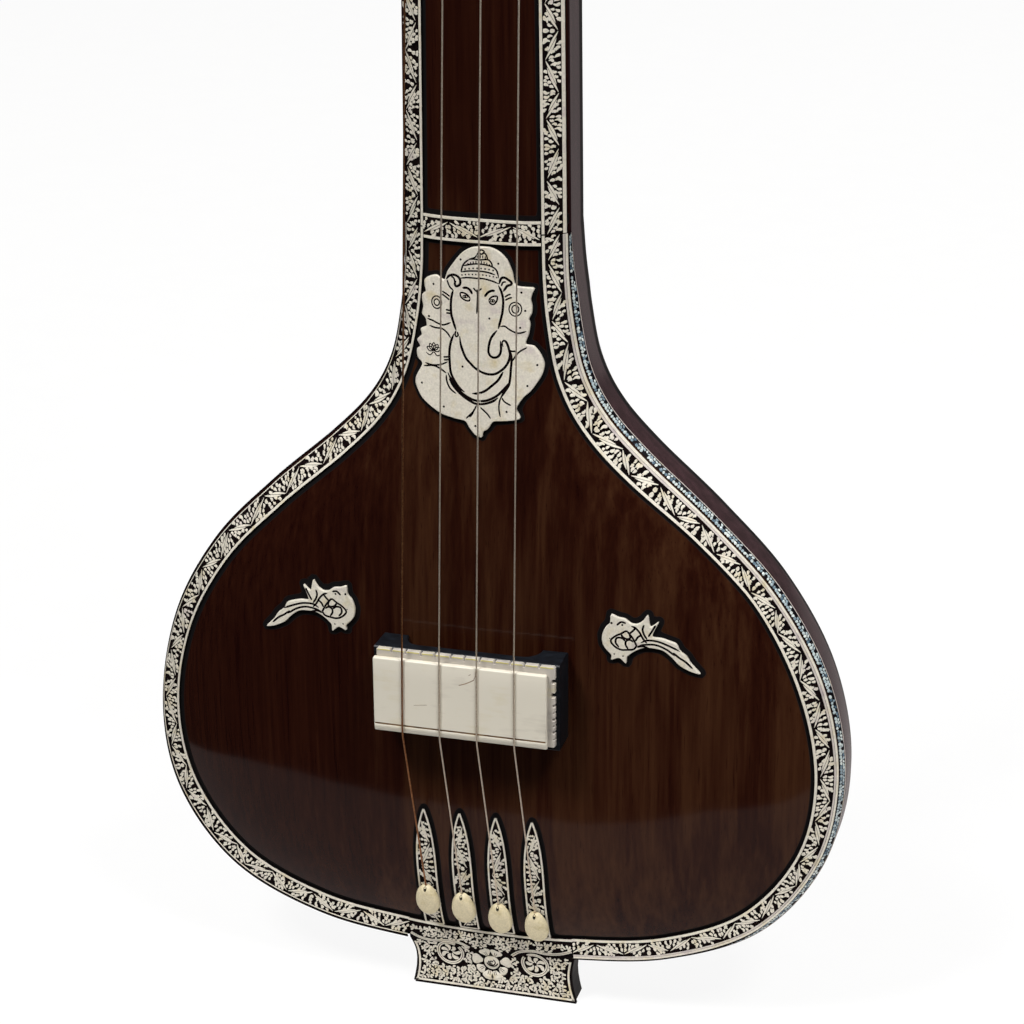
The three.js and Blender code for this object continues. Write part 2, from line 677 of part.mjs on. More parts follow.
const bridgeBoard = faceHeight(0, bridgeFoot + bridgeLength / 2);
const bridgeTop = bridgeBoard - bridgeTopHeight;
const bridgePlateUnder = bridgeTop + bridgePlateThickness;
const keyTop = bridgePlateUnder + seatGap;
const keyUnder = keyTop + keyThickness;
const tableTop = keyUnder + seatGap;
const bridgeHalf = bridgeWidth / 2;
const bridgeHead = bridgeFoot + bridgeLength;

const bridgePlate = skin([
  [bridgeFoot, bridgeLipFall], [bridgeFoot + bridgeLipLength, 0], [bridgeHead, 0],
].map(([z, fall]) => [
  [-bridgeHalf, bridgeTop + fall, z], [bridgeHalf, bridgeTop + fall, z],
  [bridgeHalf, bridgePlateUnder, z], [-bridgeHalf, bridgePlateUnder, z],
]), true);

const keyRaw = box(
  -bridgeHalf + bridgeBodyInset, bridgeHalf + keySide, keyTop, keyUnder, bridgeFoot - keySide / 2, bridgeHead + keyReach,
);
const keyCuts = [];
for (let i = 1; i < keyNotchesAcross; i += 1) {
  const x = blend(-bridgeHalf, bridgeHalf + keySide, i / keyNotchesAcross);
  keyCuts.push(box(
    x - keyNotchWidth / 2, x + keyNotchWidth / 2, keyTop - overrun, keyUnder + overrun,
    bridgeHead + keyReach - keyNotchDepth, bridgeHead + keyReach + overrun,
  ));
}
for (let i = 1; i < keyNotchesUp; i += 1) {
  const z = blend(bridgeFoot, bridgeHead + keyReach, i / keyNotchesUp);
  keyCuts.push(box(
    bridgeHalf + keySide - keyNotchDepth / 2, bridgeHalf + keySide + overrun, keyTop - overrun, keyUnder + overrun,
    z - keyNotchWidth / 2, z + keyNotchWidth / 2,
  ));
}
const keyLayer = carve(keyRaw, ...keyCuts);

const legFoot = bridgeBoard - seatGap;
const bodyHalf = bridgeHalf - bridgeBodyInset;
const arch = new THREE.Shape();
arch.moveTo(-bodyHalf, -tableTop);
arch.lineTo(-bodyHalf, -legFoot);
arch.lineTo(-bodyHalf + bridgeLegWidth, -legFoot);
steps(5, 0, 1).forEach((u) => {
  const turn = u * Math.PI / 2;
  const rise = tableTop + bridgeTableDepth - legFoot;
  arch.lineTo(
    -bodyHalf + bridgeLegWidth * (1 + 0.6 * (1 - Math.cos(turn))),
    -legFoot - rise * Math.sin(turn),
  );
});
steps(5, 1, 0).forEach((u) => {
  const turn = u * Math.PI / 2;
  const rise = tableTop + bridgeTableDepth - legFoot;
  arch.lineTo(
    bodyHalf - bridgeLegWidth * (1 + 0.6 * (1 - Math.cos(turn))),
    -legFoot - rise * Math.sin(turn),
  );
});
arch.lineTo(bodyHalf, -legFoot);
arch.lineTo(bodyHalf, -tableTop);
arch.closePath();
const bridgeBody = new THREE.ExtrudeGeometry(arch, { depth: bridgeLength - bridgeBodyInset, bevelEnabled: false });
bridgeBody.scale(1, -1, 1);
bridgeBody.translate(0, 0, bridgeFoot + bridgeBodyInset);

// Strings: from the hitch pin through the bead, over the bridge and nut, through the guide to the peg

const spread = (shift, spacing, i) => shift + (i - 1.5) * spacing;
const lieGap = (i) => seatGap + stringDiameters[i] / 2;
const pinHeight = (i) => beadHeights[i] - pinBelowBead;
const pinPlace = (i) => spread(stringShiftPin, stringSpacingPin, i);
const pinSeat = (i) => faceHeight(pinPlace(i), pinHeight(i) + pinHeadRadius) - proud;
/** The string's straight run from the pin to the bridge: its place and depth at a height z. */
const bridgeEdgeDepth = bridgeTop + bridgeLipFall - seatGap - bronzeDiameter / 2;
const pullShareAt = (i, z) => (z - pinHeight(i)) / (bridgeFoot - pinHeight(i));
const pullPlace = (i, z) => blend(
  pinPlace(i), spread(stringShiftBridge, stringSpacingBridge, i), pullShareAt(i, z));
const pullDepth = (i, z) => blend(pinSeat(i) - pinStringRise, bridgeEdgeDepth, pullShareAt(i, z));

const headFront = (x) => frontHeight(neckTop, 1 - Math.abs(x) / neckTopHalf);
const nutTop = headFront(0) - nutRise;
const guideString = headFront(0) - guideStringRise;
const collarSeat = neckTopHalf + neckChamfer + seatGap;

const windingRadius = (i) => pegRadius + seatGap + stringDiameters[i] / 2;
const pegHeight = (k) => neckTop + firstPegAbove + k * pegSpacing;

/** Where each string's peg stands: its axis point at the head's surface, and the way out. */
function frontPeg(i, k) {
  const x = spread(stringShiftNut, stringSpacingNut, i) - windingRadius(i);
  return { at: [x, headFront(0) - plateLift, pegHeight(k)], out: [0, -1, 0] };
}
const pegPlaces = [
  { at: [-collarSeat, sidePegAxisDepth, pegHeight(0)], out: [-1, 0, 0] },
  frontPeg(1, 2),
  frontPeg(2, 3),
  { at: [collarSeat, sidePegAxisDepth, pegHeight(1)], out: [1, 0, 0] },
];

function windingPoints(i) {
  const radius = windingRadius(i);
  const pitch = stringDiameters[i] + windingGap;
  const { at, out } = pegPlaces[i];
  const away = new THREE.Vector3(...out);
  const first = i === 0 || i === 3 ? new THREE.Vector3(0, -1, 0) : new THREE.Vector3(1, 0, 0);
  const second = new THREE.Vector3(0, 0, 1);
  const start = collarThickness + 2 * seatGap + stringDiameters[i];
  return Array.from({ length: windingTurns * windingSteps + 1 }, (_, k) => {
    const turn = (k / windingSteps) * 2 * Math.PI;
    const lift = start + pitch * (windingTurns - k / windingSteps);
    return new THREE.Vector3(...at)
      .addScaledVector(away, lift)
      .addScaledVector(first, radius * Math.cos(turn))
      .addScaledVector(second, radius * Math.sin(turn))
      .toArray();
  });
}

function stringPoints(i) {
  const lie = lieGap(i);
  const xBridge = spread(stringShiftBridge, stringSpacingBridge, i);
  const xNut = spread(stringShiftNut, stringSpacingNut, i);
  const xHead = blend(xBridge, xNut, (bridgeHead - bridgeFoot) / (nutHeight - bridgeFoot));
  const low = pinHeight(i) + pinHeadRadius + seatGap;
  return [
    [pullPlace(i, low), pullDepth(i, low), low],
    [xBridge, pullDepth(i, bridgeFoot), bridgeFoot],
    [xBridge, bridgeTop - lie, bridgeFoot + bridgeLipLength],
    [xHead, bridgeTop - lie, bridgeHead],
    [xNut, nutTop - lie, nutHeight - nutThickness / 2],
    [xNut, nutTop - lie, nutHeight + nutThickness / 2],
    [xNut, guideString, guideHeight - guideThickness / 2],
    [xNut, guideString, guideHeight + guideThickness / 2],
    ...windingPoints(i),
  ];
}
const strings = stringDiameters.map((diameter, i) => wire(stringPoints(i), diameter / 2, stringSides));

/** The least clear distance between a winding's turns, measured on its points. */
function leastWindingGap(i) {
  const points = windingPoints(i).map((p) => new THREE.Vector3(...p));
  let least = Infinity;
  points.forEach((p, a) => {
    for (let b = a + windingSteps / 2; b < points.length; b += 1) {
      least = Math.min(least, p.distanceTo(points[b]));
    }
  });
  return least - stringDiameters[i];
}
stringDiameters.forEach((_, i) => console.log(`string ${i + 1} winding gap ${leastWindingGap(i).toFixed(2)} mm`));

// Beads on the strings, hitch pins under them

function bead(i) {
  const dome = [[0, 0], [0.86, 0], [1, 0.14], [0.93, 0.4], [0.75, 0.68], [0.45, 0.9], [0, 1]];
  const geometry = new THREE.LatheGeometry(dome.map(([r, h]) => new THREE.Vector2(r, h)), 20);
  geometry.scale(beadWidth / 2, beadBack + beadCrown, beadLength / 2);
  geometry.translate(0, -beadBack, 0);
  geometry.scale(1, -1, 1);
  const slot = box(
    -beadSlotHalf, beadSlotHalf, -beadSlotDepth, overrun, -overrun, -pinBelowBead + pinHeadRadius + 2 * seatGap,
  );
  const tunnel = rod([0, 0, -overrun], [0, 0, overrun], stringDiameters[i] / 2 + seatGap, 8);
  const cut = carve(geometry, slot, tunnel);
  const low = new THREE.Vector3(pinPlace(i), pullDepth(i, pinHeight(i)), pinHeight(i));
  const high = new THREE.Vector3(pullPlace(i, bridgeFoot), pullDepth(i, bridgeFoot), bridgeFoot);
  const pull = high.sub(low).normalize();
  cut.rotateX(Math.atan2(-pull.y, pull.z));
  cut.rotateY(Math.atan2(pull.x, Math.hypot(pull.y, pull.z)));
  return cut.translate(pullPlace(i, beadHeights[i]), pullDepth(i, beadHeights[i]), beadHeights[i]);
}
function hitchPin(i) {
  const [x, z] = [pinPlace(i), pinHeight(i)];
  const seat = pinSeat(i) - seatGap;
  const top = pullDepth(i, z) - pinTopRise;
  const profile = [
    [0, 0], [pinRadius, 0], [pinRadius, seat - top - pinHeadThickness],
    [pinHeadRadius, seat - top - pinHeadThickness], [pinHeadRadius, seat - top], [0, seat - top],
  ];
  const geometry = new THREE.LatheGeometry(profile.map(([r, h]) => new THREE.Vector2(r, h)), 10);
  geometry.scale(1, -1, 1);
  return geometry.translate(x, seat, z);
}

// Nut and string guide, standing on the face

function bar(z0, z1, half, top) {
  const columns = steps(10, -1, 1).map((u) => u * half);
  const rings = [z0, z1].map((z) => {
    const foot = columns.map((x) => {
      const y = z >= neckTop ? headFront(x) : faceHeight(x, z);
      return [x, y - plateLift, z];
    });
    return [...foot, ...columns.slice().reverse().map((x) => [x * 0.97, top, z])];
  });
  return rings;
}
function barSolid(rings) {
  const rows = rings.map((ring) => ring.slice(0, ring.length / 2));
  const tops = rings.map((ring) => ring.slice(ring.length / 2).reverse());
  const points = rows[0].map((_, k) => [rows[0][k], rows[1][k], tops[1][k], tops[0][k]]);
  return skin(points, true);
}
const nut = barSolid(bar(nutHeight - nutThickness / 2, nutHeight + nutThickness / 2, nutHalf, nutTop));
const guideRaw = barSolid(bar(
  guideHeight - guideThickness / 2, guideHeight + guideThickness / 2, guideHalf, headFront(0) - guideRise));
const guide = carve(guideRaw, ...stringDiameters.map((_, i) => {
  const x = spread(stringShiftNut, stringSpacingNut, i);
  return rod([x, guideString, guideHeight - overrun], [x, guideString, guideHeight + overrun], guideHoleRadius, 8);
}));

// Head with its peg holes, pegs and bone collars

const headStations = steps(14).map((t) => station(headEdge, t));
const headRing = (d, f, y) => ringOf(headStations.map((at) => rayPoint(at, d, f, y)));
const headSolid = skin([
  ...boardShares.slice().reverse().map((f) => headRing(0, f, frontHeight(bodyTop, f))),
  headRing(-neckChamfer, 0, neckChamfer),
  ...[0, 0.03, 0.12, 0.3, 0.6, 1].map((f) => headRing(-neckChamfer, f, backHeight(bodyTop, f))),
]);
const holeRadius = (pegRadius + seatGap) / Math.cos(Math.PI / pegSides);
const alongPeg = (place, distance) => place.at.map((value, k) => value + place.out[k] * distance);
const head = carve(headSolid, ...pegPlaces.map((place) => (
  rod(alongPeg(place, -pegDepth - 2 * seatGap), alongPeg(place, overrun), holeRadius, pegSides))));

function turned(profile, place, sides) {
  const geometry = new THREE.LatheGeometry(profile.map(([r, h]) => new THREE.Vector2(r, h)), sides);
  const up = new THREE.Vector3(0, 1, 0);
  geometry.applyQuaternion(new THREE.Quaternion().setFromUnitVectors(up, new THREE.Vector3(...place.out)));
  return geometry.translate(...place.at);
}
const knobShares = [
  [0.42, 0], [0.62, 0.08], [0.6, 0.16], [0.84, 0.28], [1, 0.45], [0.98, 0.62], [0.78, 0.8], [0.42, 0.92], [0.2, 1],
];
const peg = (place) => turned([
  [0, -pegDepth], [pegTipRadius, -pegDepth], [pegRadius, 0], [pegRadius, neckOfPeg],
  ...knobShares.map(([r, h]) => [r * knobRadius, neckOfPeg + h * knobLength]),
  [0, neckOfPeg + knobLength],
], place, pegSides);
const collar = (place) => turned([
  [holeRadius, 0], [collarRadius, 0], [collarRadius, collarThickness / 2],
  [collarRadius - collarThickness / 2, collarThickness], [holeRadius, collarThickness], [holeRadius, 0],
], place, pegSides);

// The whole instrument

const tanpura = new THREE.Group();
tanpura.name = 'tanpura';
function add(name, geometry, material) {
  const mesh = new THREE.Mesh(tidy(geometry), material);
  mesh.name = name;
  tanpura.add(mesh);
}

add('back_shell', backShell, materials.walnut);
add('soundboard', soundboard, materials.rosewood);
add('neck_shell', neckShell, materials.walnut);
add('neck_face', neckFace, materials.rosewood);
add('neck_block', neckBlock, materials.spruce);
add('tail_inner_block', tailInnerBlock, materials.spruce);
add('lining_right', lining, materials.spruce);
add('lining_left', mirrored(lining), materials.spruce);
add('brace_lower', brace(bodyPlace(braceLowShare)), materials.spruce);
add('brace_upper', brace(bodyPlace(braceHighShare)), materials.spruce);
add('border_right', bodyBorder, materials.engraved);
add('border_left', mirrored(bodyBorder), materials.engraved);
add('neck_border_right', neckBorder, materials.engraved);
add('neck_border_left', mirrored(neckBorder), materials.engraved);
add('joint_band', band, materials.engraved);
add('pearl_edge_right', pearlBead, materials.pearl);
add('pearl_edge_left', mirrored(pearlBead), materials.pearl);
add('figure_plate', figure, materials.engraved);
add('bird_left', bird, materials.engraved);
add('bird_right', mirrored(bird), materials.engraved);
add('tail_block', tailBlock, materials.ebony);
add('tail_plate', tailPlate, materials.engraved);
add('bridge_body', bridgeBody, materials.ebony);
add('bridge_key_layer', keyLayer, materials.bone);
add('bridge_plate', bridgePlate, materials.bone);
add('nut', nut, materials.bone);
add('string_guide', guide, materials.bone);
add('head', head, materials.walnut);
stringDiameters.forEach((_, i) => {
  const number = i + 1;
  add(`leaf_strip_${number}`, leafStrip(i), materials.engraved);
  add(`tuning_bead_${number}`, bead(i), materials.bead);
  add(`hitch_pin_${number}`, hitchPin(i), materials.bronze);
  add(`string_${number}`, strings[i], i === 0 ? materials.bronze : materials.steel);
  add(`peg_${number}`, peg(pegPlaces[i]), materials.ebony);
  add(`peg_collar_${number}`, collar(pegPlaces[i]), materials.bone);
});

export default tanpura;
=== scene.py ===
import math

import bmesh
import bpy
import numpy as np
from mathutils import Matrix, Vector
from mathutils.geometry import delaunay_2d_cdt


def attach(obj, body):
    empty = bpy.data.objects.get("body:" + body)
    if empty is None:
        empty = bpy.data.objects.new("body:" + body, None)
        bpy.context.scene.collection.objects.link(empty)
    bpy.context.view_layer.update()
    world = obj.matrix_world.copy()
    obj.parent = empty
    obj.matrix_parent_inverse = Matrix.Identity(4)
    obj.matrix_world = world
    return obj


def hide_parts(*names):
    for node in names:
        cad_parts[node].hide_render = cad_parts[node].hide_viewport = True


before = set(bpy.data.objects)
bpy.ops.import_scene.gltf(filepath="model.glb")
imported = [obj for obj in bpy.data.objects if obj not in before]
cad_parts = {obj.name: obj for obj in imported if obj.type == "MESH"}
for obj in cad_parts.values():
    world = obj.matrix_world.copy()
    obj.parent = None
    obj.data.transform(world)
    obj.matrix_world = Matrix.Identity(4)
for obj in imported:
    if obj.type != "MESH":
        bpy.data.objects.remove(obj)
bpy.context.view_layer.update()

# Camera: a long lens a little above and to the right of the instrument, tipped by half a degree,
# aimed at the lower half so that the neck runs out of the top of the picture
look_at = np.array([10.25, -4.8, 212.0])
camera_distance = 1132.0
camera_azimuth, camera_height, camera_roll = math.radians(16), math.radians(22), math.radians(-0.45)
lens_length, film_width = 105.47, 36.0

backward = np.array([
    math.sin(camera_azimuth) * math.cos(camera_height),
    -math.cos(camera_azimuth) * math.cos(camera_height),
    math.sin(camera_height),
])
level_right = np.array([math.cos(camera_azimuth), math.sin(camera_azimuth), 0.0])
level_up = np.cross(backward, level_right)
turned_right = math.cos(camera_roll) * level_right + math.sin(camera_roll) * level_up
turned_up = math.cos(camera_roll) * level_up - math.sin(camera_roll) * level_right
camera_place = (look_at + backward * camera_distance) * 0.001
camera_data = bpy.data.cameras.new("camera")
camera_data.lens = lens_length
camera_data.sensor_width = film_width
camera = bpy.data.objects.new("camera", camera_data)
bpy.context.scene.collection.objects.link(camera)
camera.matrix_world = Matrix([
    [turned_right[i], turned_up[i], backward[i], camera_place[i]] for i in range(3)
] + [[0, 0, 0, 1]])
bpy.context.scene.camera = camera

# Soundboard: one thin domed board of rosewood, highest over its middle and falling quickly at the rim,
# stained, lacquered and polished; a black line is painted round each inlay that is let into it
body_half = 137.6
body_length = 300.4
tail_drop = 21.6
body_top = tail_drop + body_length
neck_foot_half, neck_top_half = 31.1, 27.4
neck_length = 446
lower_shares = [
    (0, 0, 0.4256), (0.254, 0.0053, 0.4258), (0.53, 0.0253, 0.4262), (0.784, 0.0822, 0.427),
    (0.951, 0.186, 0.4284), (1, 0.308, 0.432),
]
upper_shares = [
    (0.931, 0.437, 0.447), (0.758, 0.549, 0.481), (0.524, 0.638, 0.521), (0.28, 0.716, 0.574),
    (0.14, 0.77, 0.631), (0.06, 0.824, 0.714), (0.0216, 0.887, 0.82), (0.0047, 0.943, 0.913), (0, 1, 1),
]
body_dome, neck_dome = 18, 7
body_face_power, neck_face_power = 4.55, 3.5
board_thickness = 4
board_stations = 300
board_shares = np.r_[0, 0.004, 0.012, 0.024, 0.04, np.linspace(0.058, 1, 68)]
ink_softness = 0.2
wood_dark, wood_mid, wood_light = "#160302", "#270f07", "#3b2213"


def blend(a, b, w):
    return a + (b - a) * w


def curve_through(run, place, pull=0.5):
    """Points at places along the smooth line through a run that has one more point at each end."""
    i = np.minimum(place.astype(int), len(run) - 4)
    w = (place - i)[:, None]
    a, b, c, d = (run[i + k] for k in range(4))
    return ((2 * w**3 - 3 * w**2 + 1) * b + (w**3 - 2 * w**2 + w) * (c - a) * pull
            + (3 * w**2 - 2 * w**3) * c + (w**3 - w**2) * (d - b) * pull)


def with_ends(points):
    """A run of points with one more at each end, in line with the last two."""
    return np.vstack([2 * points[0] - points[1], points, 2 * points[-1] - points[-2]])


def smooth_line(rows, t):
    """Points at shares t of the smooth line through the right-hand rows and their mirror images."""
    right = np.array(rows, float)
    points = np.vstack([right[1:][::-1] * (-1, 1, 1), right])
    return curve_through(with_ends(points), (len(points) - 1) * (1 + np.asarray(t, float)) / 2)


def rim_table(line):
    """Columns of a rim: half-width, height, foot of the ray to the middle, and the way in from the edge."""
    along = np.gradient(line[:, :2], axis=0)
    along /= np.linalg.norm(along, axis=1)[:, None]
    return np.c_[line, -along[:, 1], along[:, 0]]


body_rows = [(x * body_half, z, s) for x, z, s in lower_shares]
body_rows += [(blend(neck_foot_half, body_half, x), z, s) for x, z, s in upper_shares]
body_rows = [(x, tail_drop + z * body_length, tail_drop + s * body_length) for x, z, s in body_rows]
fine_shares = np.linspace(0, 1, 2001)
body_rim = rim_table(smooth_line(body_rows, fine_shares))


def rim_at(table, t):
    return np.column_stack([np.interp(t, np.linspace(0, 1, len(table)), column) for column in table.T])


def fullness(s):
    """1 over the middle of the body, 0 at the neck and beyond."""
    w = np.clip((body_top - s) / (body_top - body_rows[0][2]), 0, 1)
    return w * w * (3 - 2 * w)


def front_depth(s, f):
    """Depth of the face a share f of the way in from the edge, on the ray that ends at height s."""
    w = fullness(s)
    dome = blend(neck_dome, body_dome, w)
    return -dome * (1 - np.clip(1 - f, 0, 1) ** blend(neck_face_power, body_face_power, w))


def face_depth(x, z):
    """Depth of the face behind places seen from the front, on the body and the neck."""
    x, z = np.abs(np.asarray(x, float)), np.asarray(z, float)
    low, high = np.zeros_like(x), np.ones_like(x)
    for _ in range(24):
        middle = (low + high) / 2
        ex, ez, es = (np.interp(middle, fine_shares, body_rim[:, k]) for k in range(3))
        beyond = x * (ez - es) - (z - es) * ex > 0
        high = np.where(beyond, middle, high)
        low = np.where(beyond, low, middle)
    share = 1 - np.hypot(x, z - es) / np.hypot(ex, ez - es)
    neck_share = 1 - x / blend(neck_foot_half, neck_top_half, (z - body_top) / neck_length)
    on_body = z < body_top
    return np.where(on_body, front_depth(np.where(on_body, es, body_top), np.where(on_body, share, 1)),
                    front_depth(np.full_like(x, body_top), np.where(on_body, 1, neck_share)))


def ring_faces(ring_count, count, closed=True):
    """Four-sided faces between successive rings of equally many points."""
    faces = []
    for k in range(ring_count - 1):
        for i in range(count if closed else count - 1):
            j = (i + 1) % count
            faces.append((k * count + i, k * count + j, (k + 1) * count + j, (k + 1) * count + i))
    return faces


def make_piece(name, points, faces, finish, slot, body="instrument", stands_for=(), crease=40, shades=None):
    """A shaded mesh from points in millimetres, with its seams joined, fixed to its body."""
    mesh = bpy.data.meshes.new(name)
    places = (np.asarray(points, float) * 0.001).tolist()
    mesh.from_pydata(places, [], [tuple(int(i) for i in face) for face in faces])
    if shades is not None:
        layer = mesh.attributes.new("shade", "FLOAT", "POINT")
        layer.data.foreach_set("value", np.asarray(shades, np.float32))
    shaped = bmesh.new()
    shaped.from_mesh(mesh)
    bmesh.ops.remove_doubles(shaped, verts=shaped.verts, dist=2e-6)
    bmesh.ops.dissolve_degenerate(shaped, edges=shaped.edges, dist=1e-6)
    bmesh.ops.recalc_face_normals(shaped, faces=shaped.faces)
    shaped.to_mesh(mesh)
    shaped.free()
    mesh.polygons.foreach_set("use_smooth", [True] * len(mesh.polygons))
    mesh.set_sharp_from_angle(angle=math.radians(crease))
    made = bpy.data.objects.new(name, mesh)
    bpy.context.scene.collection.objects.link(made)
    made.data.materials.append(finish)
    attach(made, body)
    if stands_for:
        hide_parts(*stands_for)
    return made


def ring_piece(name, rings, finish, slot, ends=False, closed=True, **more):
    """A piece whose faces run between successive rings, with its two ends closed where asked."""
    rings = np.asarray(rings, float)
    count = len(rings[0])
    faces = ring_faces(len(rings), count, closed)
    if ends:
        faces += [tuple(range(count)), tuple((len(rings) - 1) * count + i for i in range(count))]
    return make_piece(name, rings.reshape(-1, 3), faces, finish, slot, **more)


def linear(hex_colour):
    """An sRGB hex colour as the linear red, green, blue and alpha that a node takes."""
    parts = [int(hex_colour[i:i + 2], 16) / 255 for i in (1, 3, 5)]
    return tuple(p / 12.92 if p <= 0.04045 else ((p + 0.055) / 1.055) ** 2.4 for p in parts) + (1.0,)


def link_in(node, links):
    """Links sockets, or nodes by their first output, into a node's inputs."""
    for key, source in links.items():
        socket = source.outputs[0] if isinstance(source, bpy.types.Node) else source
        node.id_data.links.new(socket, node.inputs[key])


def colour_steps(node, stops):
    """Sets a colour ramp's stops from pairs of place and hex colour."""
    ramp = node.color_ramp
    while len(ramp.elements) > len(stops):
        ramp.elements.remove(ramp.elements[-1])
    while len(ramp.elements) < len(stops):
        ramp.elements.new(0.5)
    for element, (place, colour) in zip(ramp.elements, stops):
        element.position = place
        element.color = linear(colour)


def add_node(tree, kind, settings=None, links=None):
    """A node with its settings (ramp stops, properties or input values) and what is linked into it."""
    node = tree.nodes.new("ShaderNode" + kind)
    for key, value in (settings or {}).items():
        if key == "stops":
            colour_steps(node, value)
        elif isinstance(key, str) and hasattr(node, key):
            setattr(node, key, value)
        else:
            node.inputs[key].default_value = value
    link_in(node, links or {})
    return node


def new_finish(name, roughness, specular=0.5, index=1.5, metallic=0.0):
    """A material with its shader, and the object-space place in metres that its patterns use."""
    material = bpy.data.materials.new(name)
    material.use_nodes = True
    tree = material.node_tree
    tree.nodes.clear()
    shader = add_node(tree, "BsdfPrincipled", {"Roughness": roughness, "Specular IOR Level": specular,
                                               "IOR": index, "Metallic": metallic})
    add_node(tree, "OutputMaterial", links={"Surface": shader})
    return material, tree, shader, add_node(tree, "TexCoord").outputs["Object"]


# Rosewood under a clear spirit lacquer, rubbed to a gloss: dark maroon wood with brown streaks along the
# neck's line, the gloss kept low enough that a white floor shows in it as a dim purplish grey. Streaks are
# about 2 mm wide and 80 mm long, the figure about 14 mm wide, pores drawn 0.5 mm wide (really 0.2)
lacquer_gloss, paint_gloss = 0.09, 0.9


def rosewood_finish(name):
    material, tree, shader, place = new_finish(name, lacquer_gloss, 0.16)
    streak_place = add_node(tree, "Mapping", {"Scale": (500, 500, 12)}, {"Vector": place})
    streak = add_node(tree, "TexNoise", {"Scale": 1.0, "Detail": 5.0, "Roughness": 0.6},
                      {"Vector": streak_place})
    figure_place = add_node(tree, "Mapping", {"Scale": (70, 70, 6)}, {"Vector": place})
    figure_noise = add_node(tree, "TexNoise", {"Scale": 1.0, "Detail": 3.0, "Distortion": 1.2},
                            {"Vector": figure_place})
    # Heartwood is paler to the right of the middle, with a painted reflection of the pale room laid over
    # it there, and the neck is darker than the body
    parts = add_node(tree, "SeparateXYZ", links={"Vector": place})
    over_width = add_node(tree, "MapRange", {"From Min": -0.14, "From Max": 0.14}, {"Value": parts})
    heartwood_and_reflection = add_node(tree, "ValToRGB", {"stops": [
        (0, "#404040"), (0.3, "#7a7a7a"), (0.41, "#e7e7e7"), (0.47, "#dddddd"),
        (0.52, "#c4c4c4"), (0.58, "#bcbcbc"), (0.65, "#e0e0e0"), (1, "#dcdcdc"),
    ]}, {"Fac": over_width})
    to_right = add_node(tree, "Math", {"operation": "MULTIPLY_ADD", 1: 0.5, 2: -0.3}, {0: heartwood_and_reflection})
    up_neck = add_node(tree, "MapRange", {"From Min": 0.3, "From Max": 0.34, "To Max": -0.18},
                       {"Value": parts.outputs["Z"]})
    darker_neck = add_node(tree, "Math", {"operation": "ADD"}, {0: to_right, 1: up_neck})
    figure_sum = add_node(tree, "Math", {"operation": "ADD"}, {0: figure_noise, 1: darker_neck})
    figure_soft = add_node(tree, "MapRange", {"interpolation_type": "SMOOTHSTEP", "From Min": 0.3,
                                              "From Max": 0.7}, {"Value": figure_sum})
    quiet_streak = add_node(tree, "MapRange", {"To Min": 0.23, "To Max": 0.91}, {"Value": streak})
    mixed = add_node(tree, "Math", {"operation": "MULTIPLY_ADD", 1: 0.32}, {0: figure_soft, 2: quiet_streak})
    tone = add_node(tree, "ValToRGB", {"stops": [(0.4, wood_dark), (0.66, wood_mid), (1.0, wood_light)]},
                    {"Fac": mixed})
    pore_place = add_node(tree, "Mapping", {"Scale": (2000, 2000, 70)}, {"Vector": place})
    pores = add_node(tree, "TexNoise", {"Scale": 1.0, "Detail": 1.0}, {"Vector": pore_place})
    pore_mask = add_node(tree, "MapRange", {"From Min": 0.66, "From Max": 0.74, "To Max": 0.55},
                         {"Value": pores})
    pored = add_node(tree, "Mix", {"data_type": "RGBA", 7: linear(wood_dark)}, {0: pore_mask, 6: tone})
    # The painted line is dull black
    ink = add_node(tree, "Attribute", {"attribute_name": "ink_distance"})
    ink_mask = add_node(tree, "MapRange", {"From Min": ink_softness, "From Max": -ink_softness},
                        {"Value": ink.outputs["Fac"]})
    inked = add_node(tree, "Mix", {"data_type": "RGBA", 7: linear("#050304")},
                     {0: ink_mask, 6: pored.outputs[2]})
    gloss = add_node(tree, "MapRange", {"To Min": lacquer_gloss, "To Max": paint_gloss}, {"Value": ink_mask})
    bump = add_node(tree, "Bump", {"Strength": 0.06, "Distance": 0.0002}, {"Height": streak})
    link_in(shader, {"Base Color": inked.outputs[2], "Roughness": gloss, "Normal": bump})
    return material


# Places of the inlays on the face, which are glued into it and whose outlines the painted line follows
border_width = 8.6
band_height, band_middle = 9.4, body_top + 0.3
figure_width, figure_height, figure_middle = 49.1, 72.3, (-0.4, body_top - 41.8)
bird_width, bird_height, bird_middle = 37.3, 22.0, (0.4906 * body_half, tail_drop + 0.493 * body_length)
leaf_width, leaf_length, leaf_foot = 8.3, 58.3, tail_drop + 9.0
leaf_places = [-0.9 + (i - 1.5) * 14.7 for i in range(4)]

# Outlines in hundredths of the plate's width and height from its middle
figure_outline = [
    (0, 50), (8, 50), (15, 48), (21, 44), (25, 38), (28, 31), (41, 30), (40, 27), (39, 24), (40, 21),
    (40, 17), (38, 14), (39, 11), (38, 6), (36, 1), (42, 0), (47, -4), (50, -9), (49, -14), (46, -18),
    (41, -23), (35, -27), (30, -33), (33, -38), (21, -40), (12, -41), (8, -45), (4, -47), (3, -50),
    (-2, -49), (-7, -45), (-10, -42), (-17, -41), (-28, -39), (-38, -35), (-45, -31), (-50, -25),
    (-50, -21), (-45, -14), (-49, -11), (-50, -7), (-47, -5), (-50, -2), (-46, 1), (-47, 4), (-42, 6),
    (-43, 10), (-46, 12), (-45, 16), (-46, 19), (-46, 22), (-43, 24), (-44, 27), (-44, 30), (-40, 32),
    (-34, 33), (-28, 31), (-25, 36), (-20, 41), (-14, 46), (-7, 49),
]
